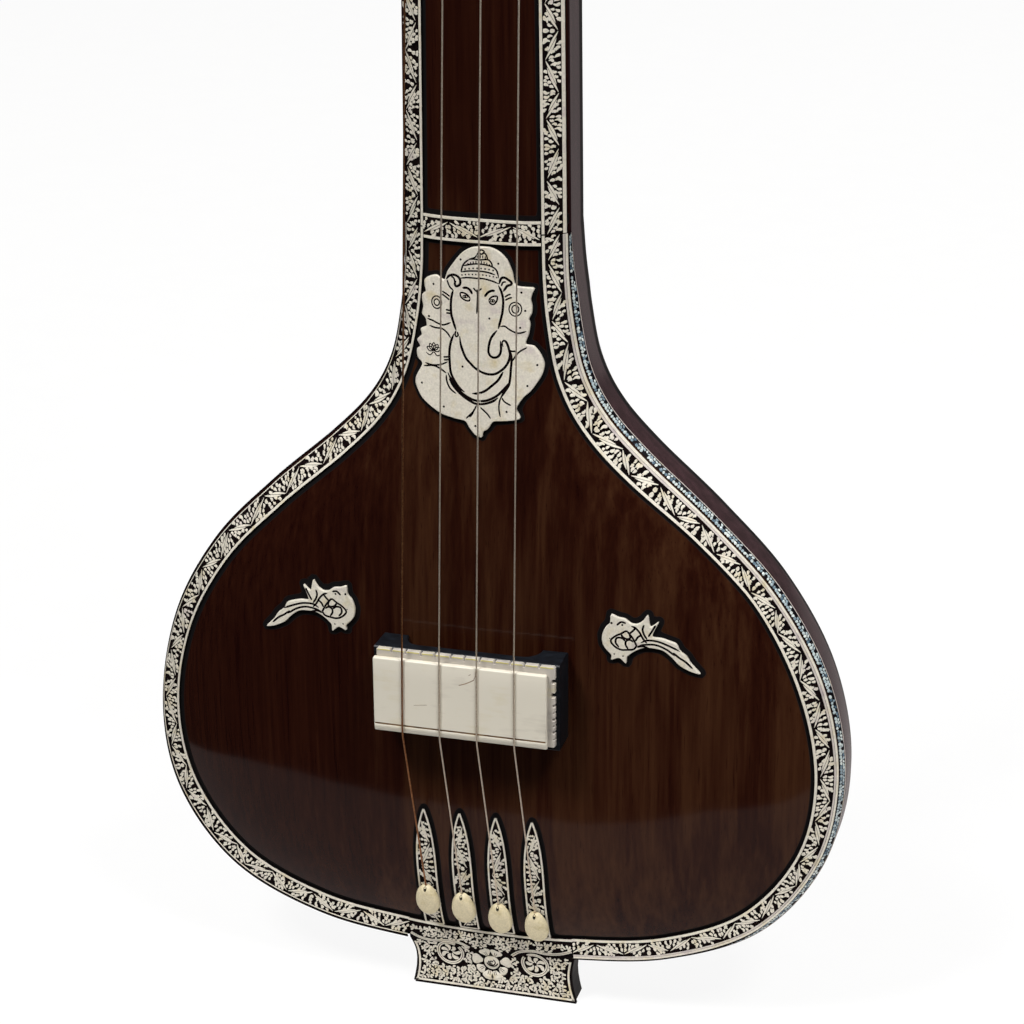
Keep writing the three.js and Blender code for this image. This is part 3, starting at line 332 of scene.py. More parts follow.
bird_outline = [
    (-50, -50), (-41, -33), (-36, -20), (-29, -10), (-25, 2), (-11, 10), (-1, 13), (-7, 39), (1, 30),
    (4, 50), (9, 39), (15, 33), (21, 34), (27, 41), (34, 43), (41, 47), (42, 32), (47, 22), (50, 7),
    (49, -8), (45, -18), (40, -27), (40, -36), (32, -31), (25, -40), (24, -28), (17, -17), (8, -9),
    (-1, -8), (-12, -11), (-21, -22), (-29, -36), (-40, -46),
]
leaf_shares = [(1, 0), (1, 0.3), (1, 0.55), (0.93, 0.68), (0.76, 0.8), (0.5, 0.9), (0.22, 0.97), (0, 1)]


def placed(outline, middle, width, height, flip=1):
    return np.array([(middle[0] + flip * x / 100 * width, middle[1] + z / 100 * height) for x, z in outline])


figure_line = placed(figure_outline, figure_middle, figure_width, figure_height)
bird_lines = [
    placed(bird_outline, (side * bird_middle[0], bird_middle[1]), bird_width, bird_height, -side)
    for side in (-1, 1)
]
leaf_half = [(x * leaf_width / 2, z * leaf_length) for x, z in leaf_shares]
leaf_lines = [
    np.array([(x + place, z + leaf_foot) for x, z in leaf_half + [(-x, z) for x, z in leaf_half[-2::-1]]])
    for place in leaf_places
]


def distance_to(line, places, closed=True):
    """Distance in millimetres from places to a line of points; 0 inside a closed one."""
    start = line if closed else line[:-1]
    end = np.roll(line, -1, axis=0) if closed else line[1:]
    least = np.full(len(places), 1e9)
    inside = np.zeros(len(places), bool)
    for a, b in zip(start, end):
        run = b - a
        share = np.clip(((places - a) @ run) / max(run @ run, 1e-9), 0, 1)
        least = np.minimum(least, np.hypot(*(places - a - share[:, None] * run).T))
        if closed and a[1] != b[1]:
            crosses = (a[1] > places[:, 1]) != (b[1] > places[:, 1])
            inside ^= crosses & (places[:, 0] < a[0] + (places[:, 1] - a[1]) / run[1] * run[0])
    return np.where(inside, 0, least)


def soft_step(low, high, value):
    w = np.clip((np.asarray(value, float) - low) / (high - low), 0, 1)
    return w * w * (3 - 2 * w)


def border_share(z, side):
    """The border's width as a share of the usual: it is filed narrower over the right shoulder."""
    waist = soft_step(150, 196, z) * (1 - soft_step(204, 245, z))
    return 1 - 0.17 * waist * (side > 0)


def inset_rim(table, d, side):
    """The rim on one side moved in by d along the face's plane, as x and z."""
    return (table[:, :2] + table[:, 3:5] * (d * border_share(table[:, 1], side))[:, None]) * (side, 1)


def mark_ink(piece, lines):
    """Stores on each point how far it lies beyond the black line painted round the inlays."""
    spots = np.array([(abs(v.co.x) * 1000, v.co.x * 1000, v.co.z * 1000) for v in piece.data.vertices])
    least = np.full(len(spots), 99.0)
    for line, width, closed, both_sides in lines:
        places = spots[:, [0, 2] if both_sides else [1, 2]]
        near = np.flatnonzero((places > line.min(0) - 8).all(1) & (places < line.max(0) + 8).all(1))
        least[near] = np.minimum(least[near], distance_to(line, places[near], closed) - width)
    layer = piece.data.attributes.new("ink_distance", "FLOAT", "POINT")
    layer.data.foreach_set("value", least.astype(np.float32))


band_foot_line, band_head_line = [
    np.array([(-31.0, band_middle + way * band_height / 2), (31.0, band_middle + way * band_height / 2)])
    for way in (-1, 1)
]
body_inner_lines = [inset_rim(body_rim, border_width, side)[::8] for side in (-1, 1)]
body_inner_lines = [line[line[:, 0] * side > 0] for line, side in zip(body_inner_lines, (-1, 1))]
rosewood = rosewood_finish("lacquered_rosewood")

# From the middle line out to the edge, then back under the board
body_stations = rim_at(body_rim, np.linspace(0, 1, board_stations))
board_rings = []
under_board = [(0, 0.15), (0, board_thickness), (0.4, board_thickness), (1, board_thickness)]
for f, drop in [(f, 0) for f in board_shares[::-1]] + under_board:
    edge_x, edge_z, s = body_stations[:, :3].T
    right = np.column_stack([edge_x * (1 - f), front_depth(s, f) + drop, blend(edge_z, s, f)])
    board_rings.append(np.vstack([right, right[::-1] * (-1, 1, 1)]))
face_of_body = ring_piece("face_of_body", board_rings, rosewood, "lacquered_wood", stands_for=["soundboard"])
mark_ink(face_of_body, [
    (body_inner_lines[0], 2.1, False, False), (body_inner_lines[1], 1.6, False, False),
    (figure_line, 1.7, True, False), *[(line, 2.1, True, False) for line in bird_lines],
    *[(line, 1.6, True, False) for line in leaf_lines], (band_foot_line, 1.8, False, False),
])

# Neck face: a long board of the same rosewood and lacquer as the soundboard, planed to a low arch and
# glued over the hollow neck; a black line is painted beside its borders and the joint's band
neck_rows = np.r_[0, np.linspace(4, 16, 9) / neck_length, np.linspace(0.06, 1, 30)]
neck_z = body_top + neck_rows * neck_length
neck_half = blend(neck_foot_half, neck_top_half, neck_rows)
neck_inner_line = np.array([(neck_half[k] - border_width, neck_z[k]) for k in (0, -1)])
neck_shares = np.linspace(0, 1, 30) ** 1.3
neck_across = [(-1, f) for f in neck_shares] + [(1, f) for f in neck_shares[::-1][1:]]
neck_front = np.array([
    [(side * half * (1 - f), front_depth(z, f), z) for side, f in neck_across]
    for half, z in zip(neck_half, neck_z)
])
neck_loop = np.concatenate([neck_front, neck_front[:, ::-1] + (0, board_thickness, 0)], axis=1)
face_of_neck = ring_piece("face_of_neck", neck_loop, rosewood, "lacquered_wood", ends=True,
                          stands_for=["neck_face"])
mark_ink(face_of_neck, [(neck_inner_line, 1.7, False, True), (band_head_line, 1.8, False, False)])

# Back and sides: a shallow shell carved from one piece, its wall nearly square to the face, then
# rounding quickly into the back; stained near black under the same lacquer
body_wall, neck_wall = 13, 15
body_back_rise, neck_back_rise = 24, 20
back_power = 2.5
body_chamfer, neck_chamfer, chamfer_run = 2.2, 0.8, 25
back_shares = np.r_[0, 0.004, 0.012, 0.025, 0.045, 0.07, 0.1, 0.14, np.linspace(0.19, 1, 22)]


def chamfer_at(z):
    return blend(neck_chamfer, body_chamfer, np.clip((body_top - z) / chamfer_run, 0, 1))


def back_depth(s, f):
    """Depth of the back a share f of the way in from the edge."""
    w = fullness(s)
    arch = (1 - np.clip(1 - f, 0, 1) ** back_power) ** (1 / back_power)
    return blend(neck_wall, body_wall, w) + blend(neck_back_rise, body_back_rise, w) * arch


# Walnut-dark stained hardwood under lacquer: smooth, deep and glossy, with the faintest grain (streaks
# 3 mm wide), so that its sides take the pale room as an even grey-brown sheen. Along the corner, from
# 13 mm behind the face, where the side turns into the back, a black band of painted shade lies over it
shell_gloss, black_gloss = 0.16, 0.5
black_from, black_solid, brown_from, brown_solid = 0.0134, 0.0149, 0.0224, 0.0294


def grain_over(finish, scale, detail, stops, bump=0.0, depth=0.0001):
    """Colours a finish along one grain, scaled per metre on each axis, and raises it by the same grain."""
    material, tree, shader, place = finish
    grain_place = add_node(tree, "Mapping", {"Scale": scale}, {"Vector": place})
    grain = add_node(tree, "TexNoise", {"Scale": 1.0, "Detail": detail}, {"Vector": grain_place})
    link_in(shader, {"Base Color": add_node(tree, "ValToRGB", {"stops": stops}, {"Fac": grain})})
    if bump:
        relief = add_node(tree, "Bump", {"Strength": bump, "Distance": depth}, {"Height": grain})
        link_in(shader, {"Normal": relief})
    return material


def dark_shell_finish(name):
    material, tree, shader, place = finish = new_finish(name, shell_gloss, 0.1)
    grain_over(finish, (330, 330, 12), 4.0, [(0.35, "#2a181a"), (0.7, "#3a2528")], 0.05, 0.0002)
    # The black corner band is painted shade where the side turns away into the back, and is made duller there
    parts = add_node(tree, "SeparateXYZ", links={"Vector": place})
    corner = add_node(tree, "MapRange", {"From Min": black_from, "From Max": black_solid},
                      {"Value": parts.outputs["Y"]})
    behind = add_node(tree, "MapRange", {"interpolation_type": "SMOOTHSTEP", "From Min": brown_from,
                                         "From Max": brown_solid, "To Min": 1.0, "To Max": 0.0},
                      {"Value": parts.outputs["Y"]})
    band = add_node(tree, "Math", {"operation": "MULTIPLY"}, {0: corner, 1: behind})
    colour = add_node(tree, "Mix", {"data_type": "RGBA", 7: linear("#080405")},
                      {0: band, 6: shader.inputs["Base Color"].links[0].from_socket})
    gloss = add_node(tree, "MapRange", {"To Min": shell_gloss, "To Max": black_gloss}, {"Value": band})
    link_in(shader, {"Base Color": colour.outputs[2], "Roughness": gloss})
    return material


dark_shell = dark_shell_finish("stained_hardwood_shaded_corner")

# Its left side has a small corner and leans in towards the back; round the tail its rim stands level
left_corner, left_lean, lean_reach, lean_from = 0.6, 0.2, 14, 0.21
lean_off_tail, lean_off_neck = (4, 32), 30
rim_rise, level_below, slope_above = 4.7, 45.0, 145.0
tuck = 0.2


def rim_level(z):
    """1 where the ground of the border lies level, round the tail, and 0 where it slopes as the face does."""
    return 1 - soft_step(level_below, slope_above, z)


def left_out(d, y):
    """How far out the left side stands, where the right side stands out by d: a small corner, then a side
    that leans in towards the back."""
    leaning = -np.minimum(-d, left_corner) + left_lean * np.clip(y - left_corner, 0, lean_reach)
    return np.where(d < -lean_from, leaning, d)


def shell_ring(table, d, f, y, leaning=False):
    """A whole ring of the shell, let out by d from the rim and moved in by a share f of the rays."""
    d, y = np.broadcast_to(d, len(table)), np.broadcast_to(y, len(table))
    sides = []
    fade = 0
    if leaning:
        fade = soft_step(*lean_off_tail, table[:, 0]) * soft_step(0, lean_off_neck, body_top - table[:, 1])
    for reach in (d, blend(d, left_out(d, y), fade)):
        out = table[:, :2] + table[:, 3:5] * reach[:, None]
        sides.append(np.column_stack([out[:, 0] * (1 - f), y, blend(out[:, 1], table[:, 2], f)]))
    return np.vstack([sides[0], sides[1][::-1] * (-1, 1, 1)])


def back_of(name, table, stands_for):
    """The shell's outer skin from under the rim to the middle of the back."""
    chamfer = chamfer_at(table[:, 1])
    rise = rim_rise * rim_level(table[:, 1])
    under = chamfer + 0.3 - rise
    rings = [
        shell_ring(table, tuck, 0, board_thickness - rise), shell_ring(table, tuck, 0, under),
        shell_ring(table, 0.15 - chamfer, 0, under, True),
        shell_ring(table, -chamfer, 0, under + 0.15, True),
    ]
    rings += [shell_ring(table, -chamfer, f, back_depth(table[:, 2], f), True) for f in back_shares]
    return ring_piece(name, rings, dark_shell, "dark_wood", stands_for=stands_for)


back_of("back_of_body", rim_at(body_rim, np.linspace(0, 1, 260)), ["back_shell"])

# Neck: a hollow channel of the same stained hardwood, carved out behind its face board and tapering a
# little towards the head; it is glued to the block inside the body
neck_rings = []
for half, z in zip(neck_half, neck_z):
    chamfer = chamfer_at(z)
    right = [(half - tuck, board_thickness), (half - tuck, chamfer + 0.1), (half + chamfer, chamfer + 0.1)]
    right += [((half + chamfer) * (1 - f), back_depth(z, f)) for f in back_shares]
    neck_rings.append([(x, y, z) for x, y in right] + [(-x, y, z) for x, y in right[::-1]])
ring_piece("back_of_neck", neck_rings, dark_shell, "dark_wood", closed=False, stands_for=["neck_shell"])

# Head: the solid end of the neck, of the same stained hardwood, bored for the pegs that it carries; its
# round top is rasped to shape and sanded smooth all over
head_foot, head_length = body_top + neck_length + 0.3, 168
head_shares = [
    (0, 1, 0.8), (0.3, 0.993, 0.798), (0.6, 0.965, 0.79), (0.84, 0.9, 0.77), (0.955, 0.78, 0.72),
    (0.985, 0.55, 0.54), (0.99, 0.3, 0.3), (1, 0, 0),
]
head_rows = [
    (x * neck_top_half, head_foot + z * head_length, head_foot + s * head_length) for x, z, s in head_shares
]
head_rim = rim_table(smooth_line(head_rows, np.linspace(0, 1, 90)))
to_middle = np.c_[np.zeros(len(head_rim)), head_rim[:, 2]] - head_rim[:, :2]
head_rim[:, 3:5] *= np.sign(np.sum(head_rim[:, 3:5] * to_middle, 1))[:, None]
head_at = np.array(body_top)
head_rings = [shell_ring(head_rim, 0, f, front_depth(head_at, f)) for f in np.linspace(1, 0, 30) ** 2]
head_rings.append(shell_ring(head_rim, -neck_chamfer * 0.7, 0, neck_chamfer * 0.3))
head_rings += [shell_ring(head_rim, -neck_chamfer, f, back_depth(head_at, f)) for f in back_shares]
ring_piece("head_of_neck", head_rings, dark_shell, "dark_wood", stands_for=["head"])

# Borders: flat strips of cream celluloid glued round the face, cut with leaves and flowers and rubbed with
# black filler, so that the cream stands in narrow leaves on black between plain cream lines
inlay_lift = 1.2
ground_lift = 0.98
outer_lines = {"right": ((0.05, 0.86), (0.95, 1.6)), "left": ((0.62, 0.95), None)}
inner_line_width = 1.0
line_gap = 0.28
repeat_length = 10.6
petal_length, petal_half, petal_pitch, petal_gap, petal_longest = 1.45, 0.56, 1.75, 0.3, 2.5
petal_lean, petal_droop, petal_sway = 84, 36, 20
leaf_clear, edge_clear = 1.25, 0.85
leaf_jitter = np.random.default_rng(11)


def shared_out(points, count, endpoint=True):
    """A line of points shared out evenly along its length."""
    walked = np.r_[0, np.cumsum(np.hypot(*np.diff(points, axis=0).T))]
    at = np.linspace(0, walked[-1], count, endpoint=endpoint)
    return np.column_stack([np.interp(at, walked, points[:, k]) for k in (0, 1)])


def smooth_run(points, count):
    """A short open line of points, smoothed and shared out evenly."""
    points = np.asarray(points, float)
    if len(points) > 2:
        points = curve_through(with_ends(points), np.linspace(0, len(points) - 1, 12 * len(points)))
    return shared_out(points, count)


class Relief:
    """Collects shapes drawn on the flat, each raised from a low edge to a high top above the face."""

    def __init__(self, low=ground_lift, high=inlay_lift):
        self.low, self.high = low, high
        self.points, self.faces, self.count = [], [], 0

    def blade(self, spine, halves):
        """A narrow raised shape along a line, with a level top and sloping sides."""
        spine = np.asarray(spine, float)
        halves = np.broadcast_to(halves, len(spine))[:, None]
        along = np.gradient(spine, axis=0)
        along /= np.maximum(np.hypot(*along.T), 1e-9)[:, None]
        side = np.column_stack([-along[:, 1], along[:, 0]])
        rows = [np.column_stack([spine + side * halves * k, np.full(len(spine), h)])
                for k, h in ((-1, self.low), (-0.86, self.high), (0.86, self.high), (1, self.low))]
        self.points.append(np.stack(rows, axis=1).reshape(-1, 3))
        self.faces += [tuple(self.count + i for i in face) for face in ring_faces(len(spine), 4, False)]
        self.count += len(self.points[-1])

    def petal(self, base, tip, half, bend=0.0, count=8):
        """A petal from a narrow base to a full round tip."""
        base, tip = np.asarray(base, float), np.asarray(tip, float)
        t = np.linspace(0, 1, count)
        across = np.array([-(tip - base)[1], (tip - base)[0]])
        spine = base + t[:, None] * (tip - base) + (bend * np.sin(math.pi * t))[:, None] * across
        rise = 0.3 + 0.7 * np.sin(math.pi / 2 * np.clip(t / 0.66, 0, 1)) ** 1.3
        close = np.sqrt(np.clip(1 - np.clip((t - 0.66) / 0.36, 0, 1) ** 2.2, 0.02, 1))
        self.blade(spine, half * rise * close)
        leaf_jitter.uniform()  # a draw that keeps the later ones in step


def lay_relief(name, relief, spot, finish, slot="engraved_inlay", crease=50):
    """Sets collected shapes on the face: spot turns drawing places into x, z and the ground's depth."""
    drawn = np.vstack(relief.points)
    x, z, ground = spot(drawn[:, 0], drawn[:, 1]).T
    return make_piece(name, np.column_stack([x, ground - drawn[:, 2], z]), relief.faces, finish, slot,
                      crease=crease)


# Cream celluloid, cast and sanded: an even, slightly waxy sheen, ivory with faint ochre and mauve clouds
# about 6 mm across where the filler has stained it, and fine sanding lines drawn 0.7 mm apart (really 0.1)
def celluloid_finish(name, pale, ochre, mauve, roughness=0.42):
    material, tree, shader, place = new_finish(name, roughness, 0.4)
    clouds = add_node(tree, "TexNoise", {"Scale": 170.0, "Detail": 4.0}, {"Vector": place})
    tone = add_node(tree, "ValToRGB", {"stops": [(0.25, ochre), (0.45, pale), (0.58, pale), (0.78, mauve)]},
                    {"Fac": clouds})
    fine = add_node(tree, "TexNoise", {"Scale": 1400.0, "Detail": 2.0}, {"Vector": place})
    worn = add_node(tree, "MapRange", {"From Min": 0.3, "From Max": 0.7, "To Min": 0.86, "To Max": 1.06},
                    {"Value": fine})
    shaded = add_node(tree, "VectorMath", {"operation": "SCALE"}, {0: tone, "Scale": worn})
    bump = add_node(tree, "Bump", {"Strength": 0.25, "Distance": 0.0001}, {"Height": fine})
    link_in(shader, {"Base Color": shaded, "Normal": bump})
    return material


cream = celluloid_finish("engraved_celluloid", "#d8d1c2", "#cbbd9b", "#c3b7b2")
cream_mauve = celluloid_finish("celluloid_line", "#c3b9b2", "#bcb094", "#a89c9e")

# Black filler, rubbed into the cuts and wiped: dull and sooty, a little brown where it is thin. It also
# makes the black disc of painted shade that stands for each tuning bead's hole
filler = grain_over(new_finish("black_filler_and_hole_shade", 0.85, 0.04), (900, 900, 900), 3.0,
                    [(0.4, "#060304"), (0.75, "#1a0f0f")])

# Walk along the right-hand rim from the middle of the tail to the top of the neck
rim_walk = np.r_[0, np.cumsum(np.hypot(*np.diff(body_rim[:, :2], axis=0).T))]
neck_slope = (neck_top_half - neck_foot_half) / neck_length
body_walk = rim_walk[-1]


def beside_rim(side):
    """Turns a walk along the rim and a way in from it into x, z and the depth of the border's ground."""
    def spot(walk, d):
        walk, d = np.asarray(walk, float), np.asarray(d, float)
        on_rim = np.column_stack([np.interp(walk, rim_walk, column) for column in body_rim.T])
        share = border_share(on_rim[:, 1], side)
        xz = on_rim[:, :2] + on_rim[:, 3:5] * (d * share)[:, None]
        inner = on_rim[:, :2] + on_rim[:, 3:5] * (border_width * share)[:, None]
        past = walk - body_walk
        on_neck = np.column_stack([neck_foot_half + neck_slope * past - d, body_top + past])
        xz = np.where((past > 0)[:, None], on_neck, xz)
        depth = blend(face_depth(*xz.T), face_depth(*inner.T), rim_level(on_rim[:, 1]))
        return np.column_stack([xz * (side, 1), depth])
    return spot


def cut_leaves(relief, start, end, low_edge, high_edge, first_way=1, half_at=None, repeat=repeat_length):
    """Slender leaf pairs that cross the band to and fro; from each side of them grow rows of drop-shaped
    petals, upright in the corners and leaning further along the leaf."""
    repeats = max(1, round((end - start) / repeat))
    step = (end - start) / repeats
    width = high_edge - low_edge
    starts = start + np.arange(repeats + 1) * step
    starts[1:-1] += leaf_jitter.uniform(-0.13, 0.13, repeats - 1) * step
    for k in range(repeats):
        way = first_way * (-1) ** k
        begin = starts[k]
        step = starts[k + 1] - begin

        def spot(a, b):
            a, b = np.asarray(a, float), np.asarray(b, float)
            b = b if way > 0 else width - b
            scale = 1.0 if half_at is None else half_at(begin + a)
            centre = (low_edge + high_edge) / 2
            return np.column_stack([begin + a, centre + (low_edge + b - centre) * scale])

        t = np.linspace(0, 1, 12)
        stem_a = t * step
        stem_b = width * (0.1 + 0.8 * (0.75 * t + 0.25 * (3 * t**2 - 2 * t**3)))
        for offset, a, b in ((0.5, 0.04, 0.78), (-0.5, 0.24, 0.95)):
            part = np.linspace(a, b, 12) + leaf_jitter.uniform(-0.05, 0.05)
            swell = np.sin(math.pi * np.clip(t, 0.02, 0.98))
            reach = offset * (0.35 + 0.65 * swell)
            across = np.interp(part, t, stem_b, left=stem_b[0], right=stem_b[-1]) + reach * 0.8
            spine = spot(part * step - reach * 0.5, np.clip(across, 0.3, width - 0.3))
            relief.blade(spine, 0.4 * swell ** 0.8)
            leaf_jitter.uniform()
        for upper in (True, False):
            a = 0.3 + leaf_jitter.uniform(-0.15, 0.15)
            while a < step - 1.3:
                foot = np.array([a, float(np.interp(a, stem_a, stem_b)) + leaf_clear])
                while width - foot[1] > edge_clear:
                    lean = petal_lean - petal_droop * min(foot[0] / 5, 1)
                    lean = math.radians(lean + leaf_jitter.uniform(-petal_sway, petal_sway))
                    room = (width - 0.05 - foot[1]) / math.sin(lean)
                    long = petal_length * leaf_jitter.uniform(0.85, 1.15)
                    if room < long + 0.9:
                        long = min(room, petal_longest)
                    out = np.array([math.cos(lean), math.sin(lean)])
                    ends = np.array([foot, foot + long * out])
                    if ends[1, 0] > step + 0.5:
                        break
                    if not upper:
                        ends = (step, width) - ends
                    relief.petal(*spot(ends[:, 0], ends[:, 1]), petal_half * leaf_jitter.uniform(0.88, 1.08),
                                 leaf_jitter.choice([-0.3, -0.1, 0.3]) * way)
                    foot = foot + (long + petal_gap) * out
                a += petal_pitch


def ground_strip(name, spot, walk, near, far, stands_for=()):
    """The strip under the cut leaves, filled with black, with its edges down to the wood."""
    levels = [(near, 0.0), (near, ground_lift - 0.15), (near + 0.12, ground_lift)]
    levels += [(blend(near, far, share), ground_lift) for share in (0.12, 0.24, 0.42, 0.7)]
    levels += [(far - 0.15, ground_lift), (far, ground_lift - 0.15), (far, 0.0)]
    rows = []
    for d, lift in levels:
        x, z, ground = spot(walk, np.broadcast_to(d, len(walk))).T
        rows.append(np.column_stack([x, ground - lift, z]))
    ring_piece(name, np.stack(rows, axis=1), filler, "engraved_inlay", closed=False, stands_for=stands_for)


edge_low = ground_lift - 0.05


def edge_line(relief, walk, near, far):
    """A plain line along a strip, which closes a relief and reaches down into the filler."""
    relief.low = edge_low
    relief.blade(np.column_stack([walk, np.full(len(walk), (near + far) / 2)]), (far - near) / 2)


tail_half_top = 34.4
nut_middle = body_top + neck_length - 10
neck_border_end = nut_middle - 2.3
tail_walk = float(np.interp(tail_half_top + 0.3, body_rim[:, 0][:700], rim_walk[:700]))
body_steps = np.linspace(tail_walk, body_walk - 0.15, 330)
neck_steps = np.linspace(body_walk + 0.15, body_walk + neck_border_end - body_top, 120)
for word, side in (("right", 1), ("left", -1)):
    spot = beside_rim(side)
    rim_heights = np.interp(body_steps, rim_walk, body_rim[:, 1])
    black_edge = 0.25 - (soft_step(-140, -60, -rim_heights) * 0.95 if side < 0 else
                         soft_step(-60, -36, -rim_heights))
    ground_strip(f"border_ground_{word}", spot, body_steps, black_edge, border_width, [f"border_{word}"])
    leaves, lines = Relief(), Relief()
    outer_line, second_line = outer_lines[word]
    cut_leaves(leaves, body_steps[0], body_steps[-1], (second_line or outer_line)[1] + line_gap,
               border_width - inner_line_width - 0.16, side)
    edge_line(leaves, body_steps, *outer_line)
    edge_line(leaves, body_steps, border_width - inner_line_width, border_width)
    lay_relief(f"border_leaves_{word}", leaves, spot, cream)
    if second_line:
        edge_line(lines, body_steps, *second_line)
        lay_relief(f"border_line_{word}", lines, spot, cream_mauve)
    ground_strip(f"neck_border_ground_{word}", spot, neck_steps, 0.3, border_width, [f"neck_border_{word}"])
    leaves = Relief()
    outer = 1.5 if side > 0 else 0.5
    inner = border_width - inner_line_width
    cut_leaves(leaves, neck_steps[0], neck_steps[-1], outer + 0.15, inner - 0.22, -side)
    if side > 0:
        edge_line(leaves, neck_steps, 0.35, outer)
    edge_line(leaves, neck_steps, inner, border_width)
    lay_relief(f"neck_border_leaves_{word}", leaves, spot, cream)

# Band over the joint of neck and body: a short strip of the same cut celluloid, bent over the face and
# glued across it between the borders, so that it hides the joint
band_half = 22.3
band_low, band_high = band_middle - band_height / 2, band_middle + band_height / 2


def across_face(along, height):
    return np.column_stack([along, height, face_depth(along, height)])


band_steps = np.linspace(-band_half, band_half, 40)
ground_strip("band_ground", across_face, band_steps, band_low, band_high, ["joint_band"])
leaves = Relief()
cut_leaves(leaves, -band_half, band_half, band_low + 1.35, band_high - 1.35)
edge_line(leaves, band_steps, band_low + 0.05, band_low + 1.15)
edge_line(leaves, band_steps, band_high - 1.15, band_high - 0.05)
lay_relief("band_leaves", leaves, across_face, cream)

# Pearl edge: the corner between face and side is planed off and filled with black resin, in which chips of
# mother-of-pearl are set in a chain, between a fine pale line and the side
chip_pitch, chip_corners = 1.3, 7
chip_rows, chip_spread, chip_gaps = (0.26, 0.64), (0.25, 0.17), (0.04, 0.3)
pearl_from = 38.0
chip_dice = np.random.default_rng(23)


# Black resin with a polished skin, the ground of the chips
resin = grain_over(new_finish("black_resin", 0.22, 0.35, 1.52), (700, 700, 700), 2.0,
                   [(0.35, "#060508"), (0.8, "#15121a")])


# Mother-of-pearl chips, sanded flush and polished: bluish white to slate by the way each chip was cut,
# with clouds under 1 mm that change it within a chip
def pearl_finish(name):
    material, tree, shader, place = new_finish(name, 0.18, 0.6, 1.53)
    chip = add_node(tree, "Attribute", {"attribute_name": "shade"})
    cloud = add_node(tree, "TexNoise", {"Scale": 1100.0, "Detail": 2.0}, {"Vector": place})
    mixed = add_node(tree, "Math", {"operation": "MULTIPLY_ADD", 1: 0.5}, {0: cloud, 2: chip.outputs["Fac"]})
    tone = add_node(tree, "ValToRGB", {"stops": [
        (0.28, "#4c6272"), (0.45, "#91a3ab"), (0.72, "#bcc8c8"), (1.0, "#d8deda"),
    ]}, {"Fac": mixed})
    link_in(shader, {"Base Color": tone})
    return material


edging_width = 3.0
pearl = pearl_finish("mother_of_pearl")


def planed_corner(side):
    """Places on the edging: a share across it, from the face to the side, and a lift off it. On the right it
    lies on the planed corner, on the left on the side just under it."""
    def spot(walk, across, lift):
        on_rim = np.column_stack([np.interp(walk, rim_walk, column) for column in body_rim.T])
        chamfer = chamfer_at(on_rim[:, 1])
        rise = rim_rise * rim_level(on_rim[:, 1])
        if side > 0:
            out = blend(0.1, chamfer, across) + lift * 0.7
            depth = blend(0.25, chamfer, across) - lift * 0.7
        else:
            out = left_corner + lift - left_lean * across * edging_width
            depth = left_corner + 0.5 + across * edging_width
        xz = on_rim[:, :2] - on_rim[:, 3:5] * out[:, None]
        return np.column_stack([xz[:, 0] * side, depth - rise, xz[:, 1]])
    return spot


for word, side in (("right", 1), ("left", -1)):
    spot = planed_corner(side)

    def strips(walk, *places):
        return np.stack([spot(walk, np.full(len(walk), a), np.full(len(walk), h)) for a, h in places], axis=1)

    ground = strips(body_steps, (0, -0.4), (0, 0), (0.5, 0.04), (1, 0), (1, -0.4))
    ring_piece(f"pearl_ground_{word}", ground, resin, "pearl_edging", closed=False,
               stands_for=[f"pearl_edge_{word}"])
    first = float(np.interp(pearl_from, body_rim[:1000, 1], rim_walk[:1000]))
    line = strips(body_steps[body_steps > first], (0.87, 0), (0.885, 0.09), (0.965, 0.09), (0.98, 0))
    ring_piece(f"pearl_line_{word}", line, cream_mauve, "pearl_edging", closed=False)
    points, faces, shades = [], [], []
    chips = int((body_steps[-1] - first) / chip_pitch)
    for k in range(chips * 2):
        row = k % 2
        if chip_dice.uniform() < chip_gaps[row]:
            continue
        middle = first + (k // 2 + 0.5 + 0.45 * row) * chip_pitch
        across_middle = chip_rows[row] + chip_dice.uniform(-0.03, 0.03)
        reach = chip_pitch * chip_dice.uniform(0.44, 0.62)
        spread = chip_spread[row] * chip_dice.uniform(0.85, 1.15)
        turn = chip_dice.uniform(-0.5, 0.5)
        corners = []
        for angle in np.linspace(0, 2 * math.pi, chip_corners, endpoint=False):
            r = chip_dice.uniform(0.82, 1.12)
            a, b = reach * r * math.cos(angle), spread * r * math.sin(angle)
            across = across_middle + a * math.sin(turn) * 0.3 + b * math.cos(turn)
            corners.append((middle + a * math.cos(turn) - b * math.sin(turn), np.clip(across, 0.02, 0.84)))
        corners = np.array(corners)
        centre = corners.mean(0)
        base, count = len(points), chip_corners
        inner = centre + (corners - centre) * 0.86
        for ring, lift in ((corners, 0.02), (inner, 0.1), (np.array([centre]), 0.11)):
            points.extend(spot(ring[:, 0], ring[:, 1], np.full(len(ring), lift)))
        for i in range(count):
            j = (i + 1) % count
            faces.append((base + i, base + j, base + count + j, base + count + i))
            faces.append((base + count + i, base + count + j, base + 2 * count))
        shades += [chip_dice.uniform(0, 0.75)] * (2 * count + 1)
    make_piece(f"pearl_chips_{word}", points, faces, pearl, "pearl_edging", shades=shades)

# Figure plate: one thin sheet of the cream celluloid, sawn to the outline of a seated elephant-headed
# figure, its features cut as fine lines filled with black, and pinned down with small nails
plate_bevel = 0.22
fine_cut_half, cut_half, bold_cut_half = 0.22, 0.34, 0.5
cut_low, cut_lift = inlay_lift - 0.01, inlay_lift + 0.015


def fair_outline(line, count):
    """A closed outline rounded through its points, with evenly shared places."""
    closed = np.vstack([line[-2:], line, line[:3]])
    fair = curve_through(closed, np.arange(8, 8 * (len(line) + 1)) / 8, 0.4)
    return shared_out(fair, count, False)


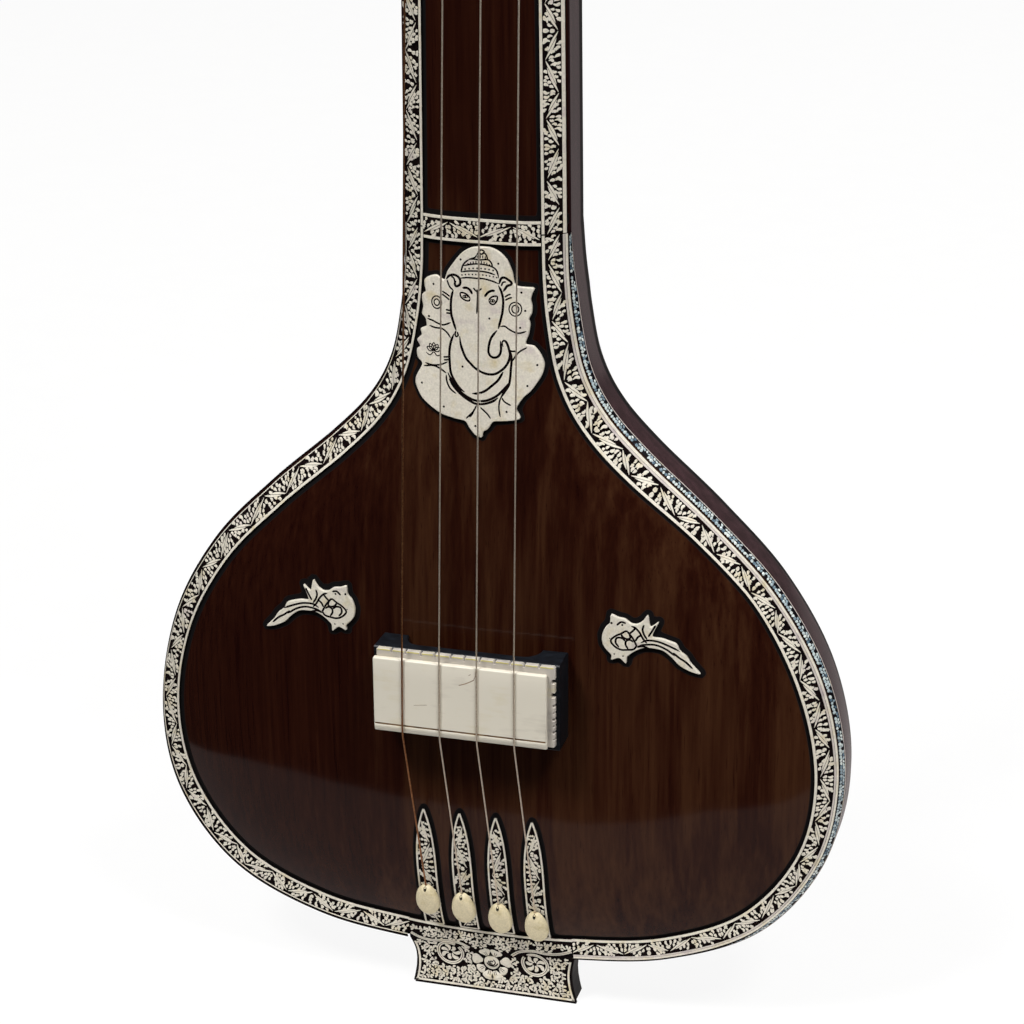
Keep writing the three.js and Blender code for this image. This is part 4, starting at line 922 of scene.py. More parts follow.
def moved_in(line, d):
    """A closed outline moved in by d along its own normals."""
    along = np.roll(line, -1, axis=0) - np.roll(line, 1, axis=0)
    along /= np.maximum(np.hypot(*along.T), 1e-9)[:, None]
    area = np.sum(line[:, 0] * np.roll(line[:, 1], -1) - line[:, 1] * np.roll(line[:, 0], -1))
    inward = np.column_stack([-along[:, 1], along[:, 0]]) * (1 if area > 0 else -1)
    return line + inward * d


def filled(outline, inside=()):
    """A closed outline filled with faces: its points as pairs, and the faces."""
    ring = [(i, (i + 1) % len(outline)) for i in range(len(outline))]
    made = delaunay_2d_cdt([Vector(p) for p in [*outline, *inside]], ring, [], 1, 1e-5)
    return [tuple(p) for p in made[0]], [tuple(face) for face in made[2]]


def skirt(faces, base, count, levels=2):
    """Adds the faces between closed rings of count points, one level after the other."""
    for a in range(base, base + levels * count, count):
        for i in range(count):
            j = (i + 1) % count
            faces.append((a + i, a + j, a + count + j, a + count + i))


def face_plate(name, outline, finish, grid_step=1.6, lift=inlay_lift, stands_for=()):
    """A thin plate on the domed face with a soft edge, draped over it."""
    inner = moved_in(outline, plate_bevel)
    low, high = inner.min(0), inner.max(0)
    xs = np.arange(low[0] + grid_step / 2, high[0], grid_step)
    zs = np.arange(low[1] + grid_step / 2, high[1], grid_step)
    grid = np.array([(x, z) for z in zs for x in xs])
    grid = grid[(distance_to(inner, grid) == 0) & (distance_to(inner, grid, False) > grid_step * 0.4)]
    top, faces = filled(inner, grid)
    points = [(x, z, lift) for x, z in top]
    skirt(faces, len(points), len(inner))
    for line, height in ((inner, lift), (outline, lift - plate_bevel * 0.8), (outline, 0.0)):
        points += [(x, z, height) for x, z in line]
    points = np.array(points)
    depth = face_depth(points[:, 0], points[:, 1]) - points[:, 2]
    make_piece(name, np.column_stack([points[:, 0], depth, points[:, 1]]), faces, finish, "engraved_inlay",
               stands_for=stands_for, crease=35)


def cut_lines(relief, lines, on_plate, half=cut_half):
    for shares in lines:
        run = smooth_run(on_plate(shares), max(6, 4 * len(shares)))
        t = np.linspace(0, 1, len(run))
        loop = np.hypot(*(run[0] - run[-1])) < 0.3
        taper = np.ones_like(t) if loop else np.clip(np.minimum(t, 1 - t) * 7 + 0.35, 0, 1)
        relief.blade(run, half * taper)


def oval(turns, wide=1.0, tall=1.0):
    """Points on an oval about the origin, at turns from its right end."""
    return np.column_stack([wide * np.cos(turns), tall * np.sin(turns)])


def way_of(degrees):
    return np.array([math.cos(math.radians(degrees)), math.sin(math.radians(degrees))])


def cut_dot(relief, centre, radius):
    """A small round cut, drawn as a short fat stroke closed on itself."""
    relief.blade(centre + 0.5 * radius * oval(np.linspace(0, 2 * math.pi, 9)), 0.5 * radius)


def cut_ring(relief, centre, wide, tall, half):
    relief.blade(centre + oval(np.linspace(0, 2 * math.pi, 25), wide, tall), half)


# The cuts and nails, in thousandths of the plate's width and height from its middle
figure_cuts = [
    [(16, 487), (39, 477), (16, 463), (-6, 474), (16, 487)],
    [(-22, 456), (-6, 467), (16, 463), (39, 470), (55, 459), (65, 437)],
    [(-22, 456), (-33, 444), (-81, 430)],
    [(-81, 430), (-49, 434), (6, 433), (65, 437), (92, 422), (104, 400)],
    [(-81, 430), (-110, 414), (-130, 394), (-143, 361)],
    [(-130, 394), (-71, 405), (-6, 411), (59, 408), (104, 400), (134, 383), (151, 344)],
    [(-143, 361), (-94, 369), (-16, 373), (59, 371), (124, 360)],
    [(-153, 328), (-94, 335), (-29, 335), (37, 335), (104, 326), (153, 314)],
    [(-259, 317), (-236, 337), (-198, 344), (-165, 335), (-149, 317), (-153, 295), (-181, 285), (-191, 300),
     (-181, 314)],
    [(-253, 314), (-242, 293), (-226, 275), (-204, 264)],
    [(-220, 335), (-198, 325), (-191, 300)],
    [(153, 314), (167, 342), (189, 350), (216, 343), (248, 326), (242, 315), (216, 307), (200, 292),
     (185, 277)],
    [(169, 304), (183, 324), (206, 328)],
    [(-204, 264), (-216, 232), (-222, 195), (-218, 137), (-196, 87), (-179, 54)],
    [(147, 307), (171, 275), (185, 232), (181, 173), (165, 122), (149, 80)],
    [(-132, 279), (-98, 281), (-71, 270), (-55, 250)],
    [(41, 242), (65, 264), (92, 275), (122, 278)],
    [(-151, 254), (-120, 253), (-94, 245), (-71, 227)],
    [(-151, 254), (-143, 232), (-114, 217), (-81, 214), (-71, 227)],
    [(73, 225), (88, 239), (112, 248), (143, 250)],
    [(73, 225), (88, 209), (112, 206), (134, 223), (143, 250)],
    [(-18, 279), (-14, 243), (-16, 206), (-20, 148)],
    [(-47, 284), (-29, 270), (-16, 266)],
    [(18, 284), (-4, 271), (-14, 264)],
    [(-179, 54), (-187, 36), (-179, 22), (-163, 29), (-171, 48)],
    [(-151, 26), (-143, -14), (-122, -57), (-98, -89), (-67, -112), (-35, -133), (-2, -147), (43, -159),
     (88, -162), (132, -156), (175, -137), (210, -113), (234, -83), (244, -50), (238, -28), (222, 4),
     (200, 22), (181, 12), (189, -12)],
    [(141, 72), (112, 48), (90, 22), (77, -12), (75, -46), (92, -66), (118, -72), (147, -66), (165, -51),
     (173, -25), (167, 19)],
    [(-413, 100), (-365, 93), (-324, 82), (-279, 77), (-222, 93)],
    [(-395, 65), (-342, 58), (-291, 57), (-251, 39), (-220, 11)],
    [(165, 93), (198, 97), (230, 84), (269, 71), (312, 66), (365, 77)],
    [(228, -21), (255, -30), (287, -29)],
    [(-196, 36), (-220, -10), (-230, -62), (-226, -120), (-218, -165), (-196, -199), (-153, -242),
     (-108, -266)],
    [(-49, -271), (0, -268), (57, -249), (112, -216), (155, -187), (193, -141)],
    [(251, -35), (257, -75), (253, -122), (248, -173), (238, -210), (202, -250), (175, -281)],
    [(-240, -169), (-216, -201), (-173, -243), (-130, -270), (-86, -290), (-43, -303), (2, -308),
     (57, -303), (112, -286), (157, -264), (206, -228), (244, -192)],
    [(-230, -202), (-179, -250), (-118, -288), (-63, -311), (-14, -324), (47, -320), (114, -302),
     (157, -279)],
    [(-253, -181), (-246, -217), (-218, -253), (-173, -277)],
    [(263, -82), (289, -51), (320, -28), (373, -6)],
    [(-436, -149), (-399, -144), (-348, -141), (-297, -154), (-251, -174)],
    [(-424, -131), (-365, -138), (-297, -131), (-242, -113)],
    [(-14, -332), (-35, -362), (-61, -382), (-94, -405)],
    [(8, -337), (47, -357), (75, -373), (100, -394)],
    [(179, -274), (167, -304), (165, -340), (177, -380)],
    [(185, -277), (208, -297), (259, -313)],
    [(-31, -351), (-45, -378), (-67, -397)],
    [(-293, 253), (-259, 241), (-230, 228)],
    [(-295, 238), (-259, 223), (-234, 210)],
    [(-263, 158), (-240, 156), (-226, 155)],
    [(-259, 141), (-240, 141), (-224, 141)],
    [(-277, -90), (-255, -89), (-232, -86)],
    [(-273, -105), (-251, -104), (-232, -100)],
    [(196, 248), (222, 260), (244, 266)],
    [(200, 232), (228, 243), (253, 249)],
]
figure_nails = [
    (-145, 427), (147, 420), (-363, 284), (324, 277), (-399, 113), (354, 183), (318, 94), (79, 130),
    (-126, -133), (-448, -238), (-267, -350), (-20, -441), (226, -349), (383, -205), (452, -95),
]


def on_figure(shares):
    return np.array(shares) / 1000 * (figure_width, figure_height) + figure_middle


face_plate("figure", fair_outline(figure_line, 420), cream, stands_for=["figure_plate"])
cuts = Relief(cut_low, cut_lift)
bold_cuts = (8, 11, 13, 14, 15, 16, 25, 26, 31, 32, 33, 34, 35)
for k, line in enumerate(figure_cuts):
    cut_lines(cuts, [line], on_figure, bold_cut_half if k in bold_cuts else cut_half)

# Hatching of the crown: upright ticks in its tiers and a beaded band over the brow
for x in np.arange(-0.11, 0.1, 0.021):
    tick = [(x, 0.43 - 0.9 * abs(x) ** 1.6), (x, 0.412 - 0.3 * abs(x) ** 1.6)]
    cut_lines(cuts, [np.array(tick) * 1000], on_figure, fine_cut_half)
for x in np.arange(-0.03, 0.062, 0.019):
    tick = [(x, 0.46 - 0.2 * abs(x - 0.016)), (x, 0.441)]
    cut_lines(cuts, [np.array(tick) * 1000], on_figure, fine_cut_half)
for x in np.arange(-135, 140, 27):
    cut_dot(cuts, on_figure((x, 355 - 0.00045 * x * x)), 0.34)
for middle, rings in (((-336, 191), ((2.0, 2.35), (1.05, 1.2))), ((279, 189), ((2.35, 2.6), (1.3, 1.45)))):
    for wide, tall in rings:
        cut_ring(cuts, on_figure(middle), wide, tall, 0.27)
for eye in ((-110, 235), (104, 224)):
    cut_ring(cuts, on_figure(eye), 0.85, 0.5, 0.2)
    cut_dot(cuts, on_figure(eye), 0.42)
for k in range(9):
    cut_dot(cuts, on_figure((-110 + 31 * k, 388 - 0.6 * (k - 4) ** 2)), 0.38)
for nail in figure_nails:
    cut_dot(cuts, on_figure(nail), 0.46)

# A small lotus, five petals over two leaves, in the palm of the lower left hand
lotus = on_figure((-356, -62))
for angle in (20, 55, 90, 125, 160):
    out = way_of(angle)
    across = np.array([-out[1], out[0]])
    t = np.linspace(0, 1, 9)
    for bow in (0.26, -0.26):
        bowed = np.outer(bow * 3.2 * np.sin(math.pi * t), across)
        cuts.blade(lotus + np.outer(t, 3.0 * out) + bowed, fine_cut_half)
cut_lines(cuts, [[(-420, -75), (-385, -88), (-356, -70), (-325, -88), (-290, -75)]], on_figure, fine_cut_half)
lay_relief("figure_cuts", cuts, across_face, filler)

# Birds: two small plates of the same celluloid, mirror images, each a songbird with a crest, a scaled
# wing and a long curved tail, cut and filled like the figure
bird_cuts = [
    [(142, -59), (177, 59), (220, 155), (252, 200), (306, 141), (357, 95), (408, 0), (365, -100),
     (300, -150), (228, -141), (174, -123), (142, -59)],
    [(220, 155), (209, 82), (241, 55), (282, 82), (306, 141)],
    [(177, 5), (209, 45), (249, 18), (255, -50), (228, -127)],
    [(255, 5), (292, 64), (346, 59), (357, -27), (322, -109)],
    [(38, 5), (80, 86), (113, 186), (158, 268), (201, 295)],
    [(102, 145), (134, 100), (155, 32)],
    [(158, 268), (188, 205), (220, 155)],
    [(-292, -100), (-180, -14), (-70, 50), (38, 59), (102, 5)],
    [(-247, -191), (-158, -82), (-51, -14), (59, -23), (131, -59)],
    [(-426, -405), (-359, -295), (-292, -223), (-225, -132)],
    [(13, -91), (78, -55), (142, -77)],
    [(72, 336), (86, 250), (70, 159), (38, 77)],
    [(-43, 341), (-8, 227), (27, 127)],
    [(255, 341), (306, 355), (349, 291)],
]
bird_dots = (
    ((292, 305), 0.45), ((402, 323), 0.5), ((279, -264), 0.33), ((370, -241), 0.33), ((418, 41), 0.25),
)
for word, side, line in (("left", -1, bird_lines[0]), ("right", 1, bird_lines[1])):
    def on_bird(shares):
        middle = (side * bird_middle[0], bird_middle[1])
        return np.array(shares) / 1000 * (-side * bird_width, bird_height) + middle

    face_plate(f"songbird_{word}", fair_outline(line, 260), cream, 1.3, stands_for=[f"bird_{word}"])
    cuts = Relief(cut_low, cut_lift)
    cut_lines(cuts, bird_cuts, on_bird, 0.42)
    for middle, radius in bird_dots:
        cut_dot(cuts, on_bird(middle), radius)
    lay_relief(f"songbird_cuts_{word}", cuts, across_face, filler)

# Tail block: a block of ebonised wood glued under the body, to which the strings are anchored;
# its front carries one wide plate of cut celluloid that climbs over the rim of the face
tail_waist, tail_foot_half = 32.4, 34.0
tail_front = -1.4
plate_margin = 0.1
tail_lean = 0.9


# Ebonised wood: stained blue-black, close-grained and polished, with pores drawn 1 mm wide (really 0.1)
def ebonised_finish(name, dark, light, roughness):
    return grain_over(new_finish(name, roughness, 0.2), (300, 900, 900), 4.0,
                      [(0.35, dark), (0.75, light)], 0.15)


ebonised = ebonised_finish("ebonised_wood", "#030304", "#0a0a0c", 0.55)


def dress(finish, *names):
    """Gives CAD nodes that stay as they are a finish of their own."""
    for name in names:
        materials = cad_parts[name].data.materials
        materials.clear()
        materials.append(finish)


dress(ebonised, "tail_block")


def tail_half(down):
    end = tail_half_top if down < 0.5 else tail_foot_half
    return blend(end, tail_waist, math.sin(down * math.pi))


def rim_height(x):
    """Height of the rim's lower edge at a place across."""
    return np.interp(np.abs(x), body_rim[:700, 0], body_rim[:700, 1])


def tail_depth(x, z, lift):
    """Depth of the tail plate's front: over the face above the rim, flat in front of the block below."""
    over = face_depth(x, rim_height(x) + border_width)
    below = 1 - soft_step(-8, 6, z - rim_height(x))
    return blend(over, np.full_like(over, tail_front), below) - lift


plate_rows = np.r_[np.linspace(0.1, 20.5, 16), np.linspace(21, 32, 16)]
plate_columns = np.linspace(-1, 1, 61)


def tail_grid(lift):
    """Rows across the plate, at its front, or at its back on the block where lift is 0."""
    rows = []
    for z in plate_rows:
        down = float(np.clip(1 - z / tail_drop, 0, 1))
        x = plate_columns * (tail_half(down) - plate_margin)
        height = np.minimum(z, rim_height(x) + border_width - 0.1)
        depth = tail_depth(x, height, lift) if lift else np.full(len(x), -0.6)
        rows.append(np.column_stack([x + tail_lean * down, depth, height]))
    return rows


plate_loop = [np.vstack([front, back[::-1]]) for front, back in zip(tail_grid(ground_lift), tail_grid(0))]
loop_count = len(plate_loop[0])
plate_faces = ring_faces(len(plate_loop), loop_count)
for start in (0, (len(plate_loop) - 1) * loop_count):
    last = start + loop_count - 1
    plate_faces += [(start + i, start + i + 1, last - 1 - i, last - i) for i in range(loop_count // 2 - 1)]
make_piece("tail_ground", np.vstack(plate_loop), plate_faces, filler, "engraved_inlay",
           stands_for=["tail_plate"])
rose_middle = np.array([-0.7, 13.8])
scroll_middles = [np.array([-17.9, 16.4]), np.array([17.5, 15.9])]
scroll_radius = 5.5
tail, tail_cuts = Relief(), Relief(cut_low, cut_lift)
tail.blade([(x, 1.65) for x in np.linspace(-tail_foot_half + 0.8, tail_foot_half - 0.8, 40)], 0.42)
for side in (-1, 1):
    run = [(side * (tail_half(d) - 1.2), 1.3 + (tail_drop - 1.3) * (1 - d)) for d in np.linspace(1, 0.1, 30)]
    tail.blade(run, 0.42)
top_x = np.linspace(-tail_half_top + 0.2, tail_half_top - 0.2, 60)
tail.blade(np.column_stack([top_x, rim_height(top_x) + border_width - 0.75]), 0.5)

# The rose: broad petals behind a round bud, whose folds are cut as curls
for turn, reach, half in ((66, 7.3, 2.6), (114, 7.3, 2.6), (10, 8.2, 2.5), (-34, 7.2, 2.1), (170, 8.2, 2.5),
                          (214, 7.2, 2.1), (255, 8.0, 2.5), (285, 8.0, 2.5)):
    out = way_of(turn)
    tail.petal(rose_middle + out * 3.75, rose_middle + out * reach, half, count=10)
    for swing in (-0.3, 0.3):
        vein = [rose_middle + way_of(turn + 14 * swing) * r for r in (4.0, 5.0, 5.9)]
        tail_cuts.blade(smooth_run(vein, 8), 0.13)
bud = rose_middle + (0.0, 0.2)
for radius in (0.7, 1.5, 2.25, 2.7):
    tail.blade(bud + radius * oval(np.linspace(0, 2 * math.pi, 31)), 0.46)
for radius, start, end, squeeze in ((0.75, 0.3, 5.2, 1.0), (1.55, 2.6, 7.4, 0.95), (2.45, 3.3, 6.2, 0.8)):
    turns = np.linspace(start, end, 18)
    swirl = radius * (0.8 + 0.2 * (turns - start) / (end - start))
    tail_cuts.blade(bud + oval(turns, swirl, squeeze * swirl), 0.27)

# Two scrolls with berries inside, and the stems that run from them to the borders
stems = [
    [(-33.6, 24.3), (-29.5, 22.1), (-24.5, 21.6), (-19, 22.6), (-13.5, 22.3), (-9.3, 20.2)],
    [(8.3, 19), (12, 21.9), (17.5, 23.2), (23, 22.6), (28.5, 23.4), (33.6, 25.6)],
]
for stem in stems:
    run = smooth_run(stem, 40)
    along = np.gradient(run, axis=0)
    along /= np.hypot(*along.T)[:, None]
    across = np.column_stack([-along[:, 1], along[:, 0]])
    for offset in (-0.38, 0.38):
        tail.blade(run + across * offset, 0.26)
for side, middle in zip((-1, 1), scroll_middles):
    for radius in (scroll_radius, scroll_radius - 0.78):
        tail.blade(middle + oval(np.radians(np.linspace(60, 400, 50)), -side * radius, radius), 0.26)
    for k, long in enumerate((4.2, 3.5, 4.2, 3.7, 4.1, 3.4, 4.2)):
        out = way_of(360 / 7 * k + 12)
        tail.petal(middle + out * 0.9, middle + out * long, 0.8, bend=0.28 * side, count=9)

# Lobed leaves fill the rest, turned away from the rose and the scrolls
spray_dice = np.random.default_rng(5)
keep_clear = [(rose_middle, 7.6), *[(middle, scroll_radius + 0.6) for middle in scroll_middles]]
stem_points = np.vstack([smooth_run(stem, 60) for stem in stems])
leaf_spacing, side_clear, corner_clear, top_clear, stem_clear = 3.2, 2.4, 1.3, 2.2, 1.65
lobes = ((-100, 1.35), (-48, 1.75), (2, 2.0), (50, 1.75), (102, 1.35))
for row, z in enumerate(np.arange(3.9, 31, leaf_spacing * 0.8)):
    for x in np.arange(-33.5, 33.6, leaf_spacing) + leaf_spacing * 0.5 * (row % 2):
        middle = np.array([x + spray_dice.uniform(-0.3, 0.3), z + spray_dice.uniform(-0.25, 0.25)])
        down = float(np.clip(1 - middle[1] / tail_drop, 0, 1))
        off_side = abs(middle[0]) > tail_half(down) - (side_clear if down > 0 else corner_clear)
        off_top = middle[1] > rim_height(middle[0]) + border_width - top_clear
        taken = any(np.hypot(*(middle - spot)) < clear + 0.7 for spot, clear in keep_clear)
        if off_side or off_top or taken or np.hypot(*(stem_points - middle).T).min() < stem_clear:
            continue
        nearest = min((middle - spot for spot, _ in keep_clear), key=lambda v: np.hypot(*v))
        turn = math.degrees(math.atan2(nearest[1], nearest[0])) + spray_dice.uniform(-35, 35)
        heel = middle - way_of(turn) * 0.5
        for swing, long in lobes:
            out = way_of(turn + swing)
            tail.petal(heel + out * 0.3, heel + out * (long + 0.2), 0.44, spray_dice.choice([-0.2, 0.2]), 7)
for name, drawing, finish in (("tail_leaves", tail, cream), ("tail_cuts", tail_cuts, filler)):
    x, z, lift = np.vstack(drawing.points).T
    z = np.clip(z, 0.3, 40)
    leaned = x + tail_lean * np.clip(1 - z / tail_drop, 0, 1)
    make_piece(name, np.column_stack([leaned, tail_depth(x, z, lift), z]), drawing.faces, finish,
               "engraved_inlay", crease=50)

# Leaf strips: four narrow pointed plates under the tuning beads, framed by a cream line and cut with the
# same crossing leaves as the border
leaf_heights, leaf_halves = [z for _, z in leaf_half], [x / (leaf_width / 2) for x, _ in leaf_half]
inner_half = leaf_width / 2 - 1.05


def half_share(z):
    return np.interp(z - leaf_foot, leaf_heights, leaf_halves)


for i, (place, outline) in enumerate(zip(leaf_places, leaf_lines)):
    face_plate(f"leaf_plate_{i + 1}", outline, filler, 2.0, ground_lift, [f"leaf_strip_{i + 1}"])
    strip = Relief(edge_low)
    framed = moved_in(outline, 0.42) - (place, 0)
    for part in (framed[:8], framed[7:]):
        strip.blade(smooth_run(part, 40), 0.36)
    strip.blade(smooth_run(framed[[-1, 0]], 8), 0.36)
    # The leaves are drawn along the strip, and turned upright with it
    strip.points = [points[:, [1, 0, 2]] for points in strip.points]
    strip.low = ground_lift
    cut_leaves(strip, leaf_foot + 1.2, leaf_foot + leaf_length * 0.9, -inner_half, inner_half,
               1 if i % 2 else -1, half_share, 9.4)

    def up_strip(along, across):
        return np.column_stack([across + place, along, face_depth(across + place, along)])

    lay_relief(f"leaf_cut_{i + 1}", strip, up_strip, cream)

# Bridge: a low wide table of ebonised wood on two feet, a toothed layer of bone, and over it the flat bone
# plate that the strings buzz on, with a shallow rounded lip cut along its lower edge
bridge_foot = tail_drop + 0.3542 * body_length
bridge_length = 36.0
plate_left, plate_right = -36.5, 31.7
plate_low, plate_high = bridge_foot + 0.9, bridge_foot + 31.8
bridge_board = float(face_depth([0.0], [bridge_foot + bridge_length / 2])[0])
bridge_top = bridge_board - 17.3
plate_under = bridge_top + 2.4
key_top, key_under = plate_under + 0.05, plate_under + 0.3 + 1.8
table_top = key_under + 0.05
lip_length, lip_groove = 3.5, 0.35
edge_round = 0.55
key_reach, key_side = 2.9, 2.7


# Bone, sawn, scraped and polished: warm ivory with long faint fibres (drawn 1.5 mm wide, really 0.2)
# and yellowed a little towards the sawn edges
def bone_finish(name, pale, warm, shadow, roughness=0.38):
    material, tree, shader, place = new_finish(name, roughness, 0.4, 1.54)
    fibre_place = add_node(tree, "Mapping", {"Scale": (90, 400, 700)}, {"Vector": place})
    fibre = add_node(tree, "TexNoise", {"Scale": 1.0, "Detail": 4.0}, {"Vector": fibre_place})
    clouds = add_node(tree, "TexNoise", {"Scale": 55.0, "Detail": 3.0}, {"Vector": place})
    mixed = add_node(tree, "Math", {"operation": "MULTIPLY_ADD", 1: 0.35}, {0: fibre, 2: clouds})
    tone = add_node(tree, "ValToRGB", {"stops": [(0.45, shadow), (0.6, pale), (0.75, pale), (0.95, warm)]},
                    {"Fac": mixed})
    bump = add_node(tree, "Bump", {"Strength": 0.12, "Distance": 0.0001}, {"Height": fibre})
    link_in(shader, {"Base Color": tone, "Normal": bump})
    return material


bone = bone_finish("polished_bone", "#d9d2c2", "#d2c8ae", "#c9c1b2")
old_bone = bone_finish("sawn_bone", "#b7b0a6", "#c6bb96", "#9a948e", 0.55)


def corner(middle, radius, start, count=5):
    """Points round a quarter turn, from a start angle in degrees, as (depth, height)."""
    turns = np.radians(np.linspace(start, start + 90, count))
    return [(middle[0] + radius * math.cos(turn), middle[1] + radius * math.sin(turn)) for turn in turns]


bridge_head = bridge_foot + bridge_length
lip_height = plate_low + lip_length
r = edge_round
plate_section = np.array([
    *corner((plate_under - r, plate_low + r), r, -90),
    *corner((plate_under - r, plate_high - r), r, 0),
    *corner((bridge_top + r, plate_high - r), r, 90),
    (bridge_top, plate_high - 8), (bridge_top, lip_height + 6), (bridge_top, lip_height + 0.35),
    (bridge_top + lip_groove, lip_height + 0.15), (bridge_top + lip_groove, lip_height - 0.15),
    (bridge_top + 0.1, lip_height - 0.5), (bridge_top + 0.08, lip_height - 1.2),
    (bridge_top + 0.22, plate_low + 1.6),
    *corner((bridge_top + 0.5 + 0.9, plate_low + 0.9), 0.9, 180),
])
section_middle = plate_section.mean(0)
half_extent = (plate_section.max(0) - plate_section.min(0)) / 2
end_turns = [(edge_round * (1 - math.cos(turn)), edge_round * (1 - math.sin(turn)))
             for turn in np.linspace(0, math.pi / 2, 5)]
plate_rings = [(plate_left + x, shrink) for x, shrink in end_turns]
plate_rings += [(plate_right - x, shrink) for x, shrink in end_turns[::-1]]
plate_rings = [
    [(x, y, z) for y, z in section_middle + (plate_section - section_middle) * (1 - shrink / half_extent)]
    for x, shrink in plate_rings
]
ring_piece("bridge_table_plate", plate_rings, bone, "bone", ends=True, stands_for=["bridge_plate"], crease=45)
lip = Relief(0, 0.02)
lip.blade([(x, lip_height) for x in (plate_left + 0.4, 0, plate_right - 0.4)], 0.46)


def level_at(depth):
    """Turns drawing places into x, z and one depth."""
    return lambda x, z: np.column_stack([x, z, np.full_like(x, depth)])


# Dull brown, laid as a line in the groove of the lip and in the scratches on the plate
brown_marks = grain_over(new_finish("dull_brown_marks", 0.7), (260, 260, 260), 3.0,
                   [(0.35, "#5f452c"), (0.7, "#94744f")])
lay_relief("bridge_lip_groove", lip, level_at(bridge_top + lip_groove - 0.16), brown_marks, "bone", 40)

# The toothed layer: its upper edge and right end stand out from under the plate and are nicked by the saw
key_notch, key_cut = 0.75, 1.5
teeth_across = 12
side_notches = [(0.1, 0.7, 0.6), (0.19, 0.9, 0.8), (0.27, 0.6, 0.6), (0.35, 1.0, 0.8), (0.43, 0.7, 0.6),
                (0.52, 0.9, 0.9), (0.65, 1.5, 1.8), (0.82, 1.3, 1.7)]
key_low, key_high = plate_low + 0.4, plate_high + key_reach
key_left, key_right = plate_left + 0.8, plate_right + key_side
key_dice = np.random.default_rng(3)
key_line = [(key_left, key_low), (key_right - 0.5, key_low), (key_right, key_low + 0.5)]
for share, cut, wide in side_notches:
    z = blend(key_low, key_high, share)
    below, above = z - wide / 2, z + wide / 2
    key_line += [(key_right, below - 0.15), (key_right - cut * 0.8, below), (key_right - cut, z),
                 (key_right - cut * 0.8, above), (key_right, above + 0.15)]
key_line += [(key_right, key_high - 0.6), (key_right - 0.6, key_high)]
saw_places = []
for k in range(teeth_across - 1, 0, -1):
    x = blend(key_left, key_right, k / teeth_across) + key_dice.uniform(-0.3, 0.3)
    saw_places.append(x)
    cut, wide = key_cut * key_dice.uniform(0.6, 1.1), key_notch * key_dice.uniform(0.5, 0.9)
    key_line += [(x + wide / 2 + 0.3, key_high - key_dice.uniform(0, 0.3)),
                 (x + wide / 2, key_high - 0.35), (x + wide / 4, key_high - cut),
                 (x - wide / 4, key_high - cut), (x - wide / 2, key_high - 0.35),
                 (x - wide / 2 - 0.3, key_high)]
key_line += [(key_left + 0.5, key_high), (key_left, key_high - 0.5)]


key_line, key_bevel = np.array(key_line), 0.3
key_in = moved_in(key_line, key_bevel)
key_points, key_faces = filled(key_in)
key_points = [(x, key_top, z) for x, z in key_points]
base, count = len(key_points), len(key_line)
skirt(key_faces, base, count)
key_faces.append(tuple(base + 2 * count + i for i in range(count)))
for line, depth in ((key_in, key_top), (key_line, key_top + key_bevel), (key_line, key_under)):
    key_points += [(x, depth, z) for x, z in line]
make_piece("bridge_teeth", key_points, key_faces, old_bone, "bone", stands_for=["bridge_key_layer"],
           crease=35)

# Its sawn upper edge has yellowed, and old varnish lies in a few scratches on the plate
yellow_bone = bone_finish("yellowed_bone", "#cfc47f", "#d9cf92", "#a8994f", 0.5)
yellowed = Relief(0.0, 0.05)
for right, left in zip([key_right] + saw_places, saw_places + [key_left]):
    yellowed.blade([(left + 0.55, key_high - 0.42), ((left + right) / 2, key_high - 0.4),
                    (right - 0.55, key_high - 0.42)], 0.26)
lay_relief("bridge_teeth_edge", yellowed, level_at(key_top), yellow_bone, "bone", 40)
scratches = Relief(-0.005, 0.012)
for line, half in (
    ([(-2.4, 152.1), (0.4, 153.2), (3.6, 155.0)], 0.17), ([(3.5, 155.2), (4.1, 156.6), (4.2, 158.2)], 0.12),
    ([(1.4, 156.6), (2.4, 157.2)], 0.1), ([(-20.4, 141.6), (-15.2, 142.3)], 0.08),
):
    scratches.blade(smooth_run(line, 8), half)
lay_relief("bridge_plate_scratches", scratches, level_at(bridge_top), brown_marks, "bone", 40)

# The table itself: sawn from one block, hollowed below into an arch between its two feet
leg_width, table_depth = 10.0, 5.0
arch_half, arch_middle = 36.5, -0.8
table_low, table_high = bridge_foot - 0.9, bridge_foot + 34.6
leg_foot = bridge_board - 0.02
arch_line = [(-arch_half, table_top), (-arch_half, leg_foot), (-arch_half + leg_width, leg_foot)]
arch_rise = leg_foot - table_top - table_depth
for side, shares in ((-1, np.linspace(0.04, 1, 9)), (1, np.linspace(1, 0.04, 9))):
    for share in shares:
        turn = share * math.pi / 2
        arch_line.append((side * (arch_half - leg_width * (1 + 0.6 * (1 - math.cos(turn)))),
                          leg_foot - arch_rise * math.sin(turn)))
arch_line += [(arch_half - leg_width, leg_foot), (arch_half, leg_foot), (arch_half, table_top)]
arch_line = np.array(arch_line) + (arch_middle, 0)
arch_in = moved_in(arch_line, 0.45)
arch_rings = [(arch_in, table_low), (arch_line, table_low + 0.45), (arch_line, table_high - 0.45),
              (arch_in, table_high)]
arch_points = [(x, y, z) for line, z in arch_rings for x, y in line]
arch_faces = ring_faces(4, len(arch_line))
end_points, end_faces = filled(arch_in)
for z in (table_low, table_high):
    base = len(arch_points)
    arch_points += [(x, y, z) for x, y in end_points]
    arch_faces += [tuple(base + i for i in face) for face in end_faces]
bridge_wood = ebonised_finish("ebonised_bridge", "#0c0e12", "#1a1e24", 0.4)
make_piece("bridge_table", arch_points, arch_faces, bridge_wood, "black_wood",
           stands_for=["bridge_body"], crease=35)

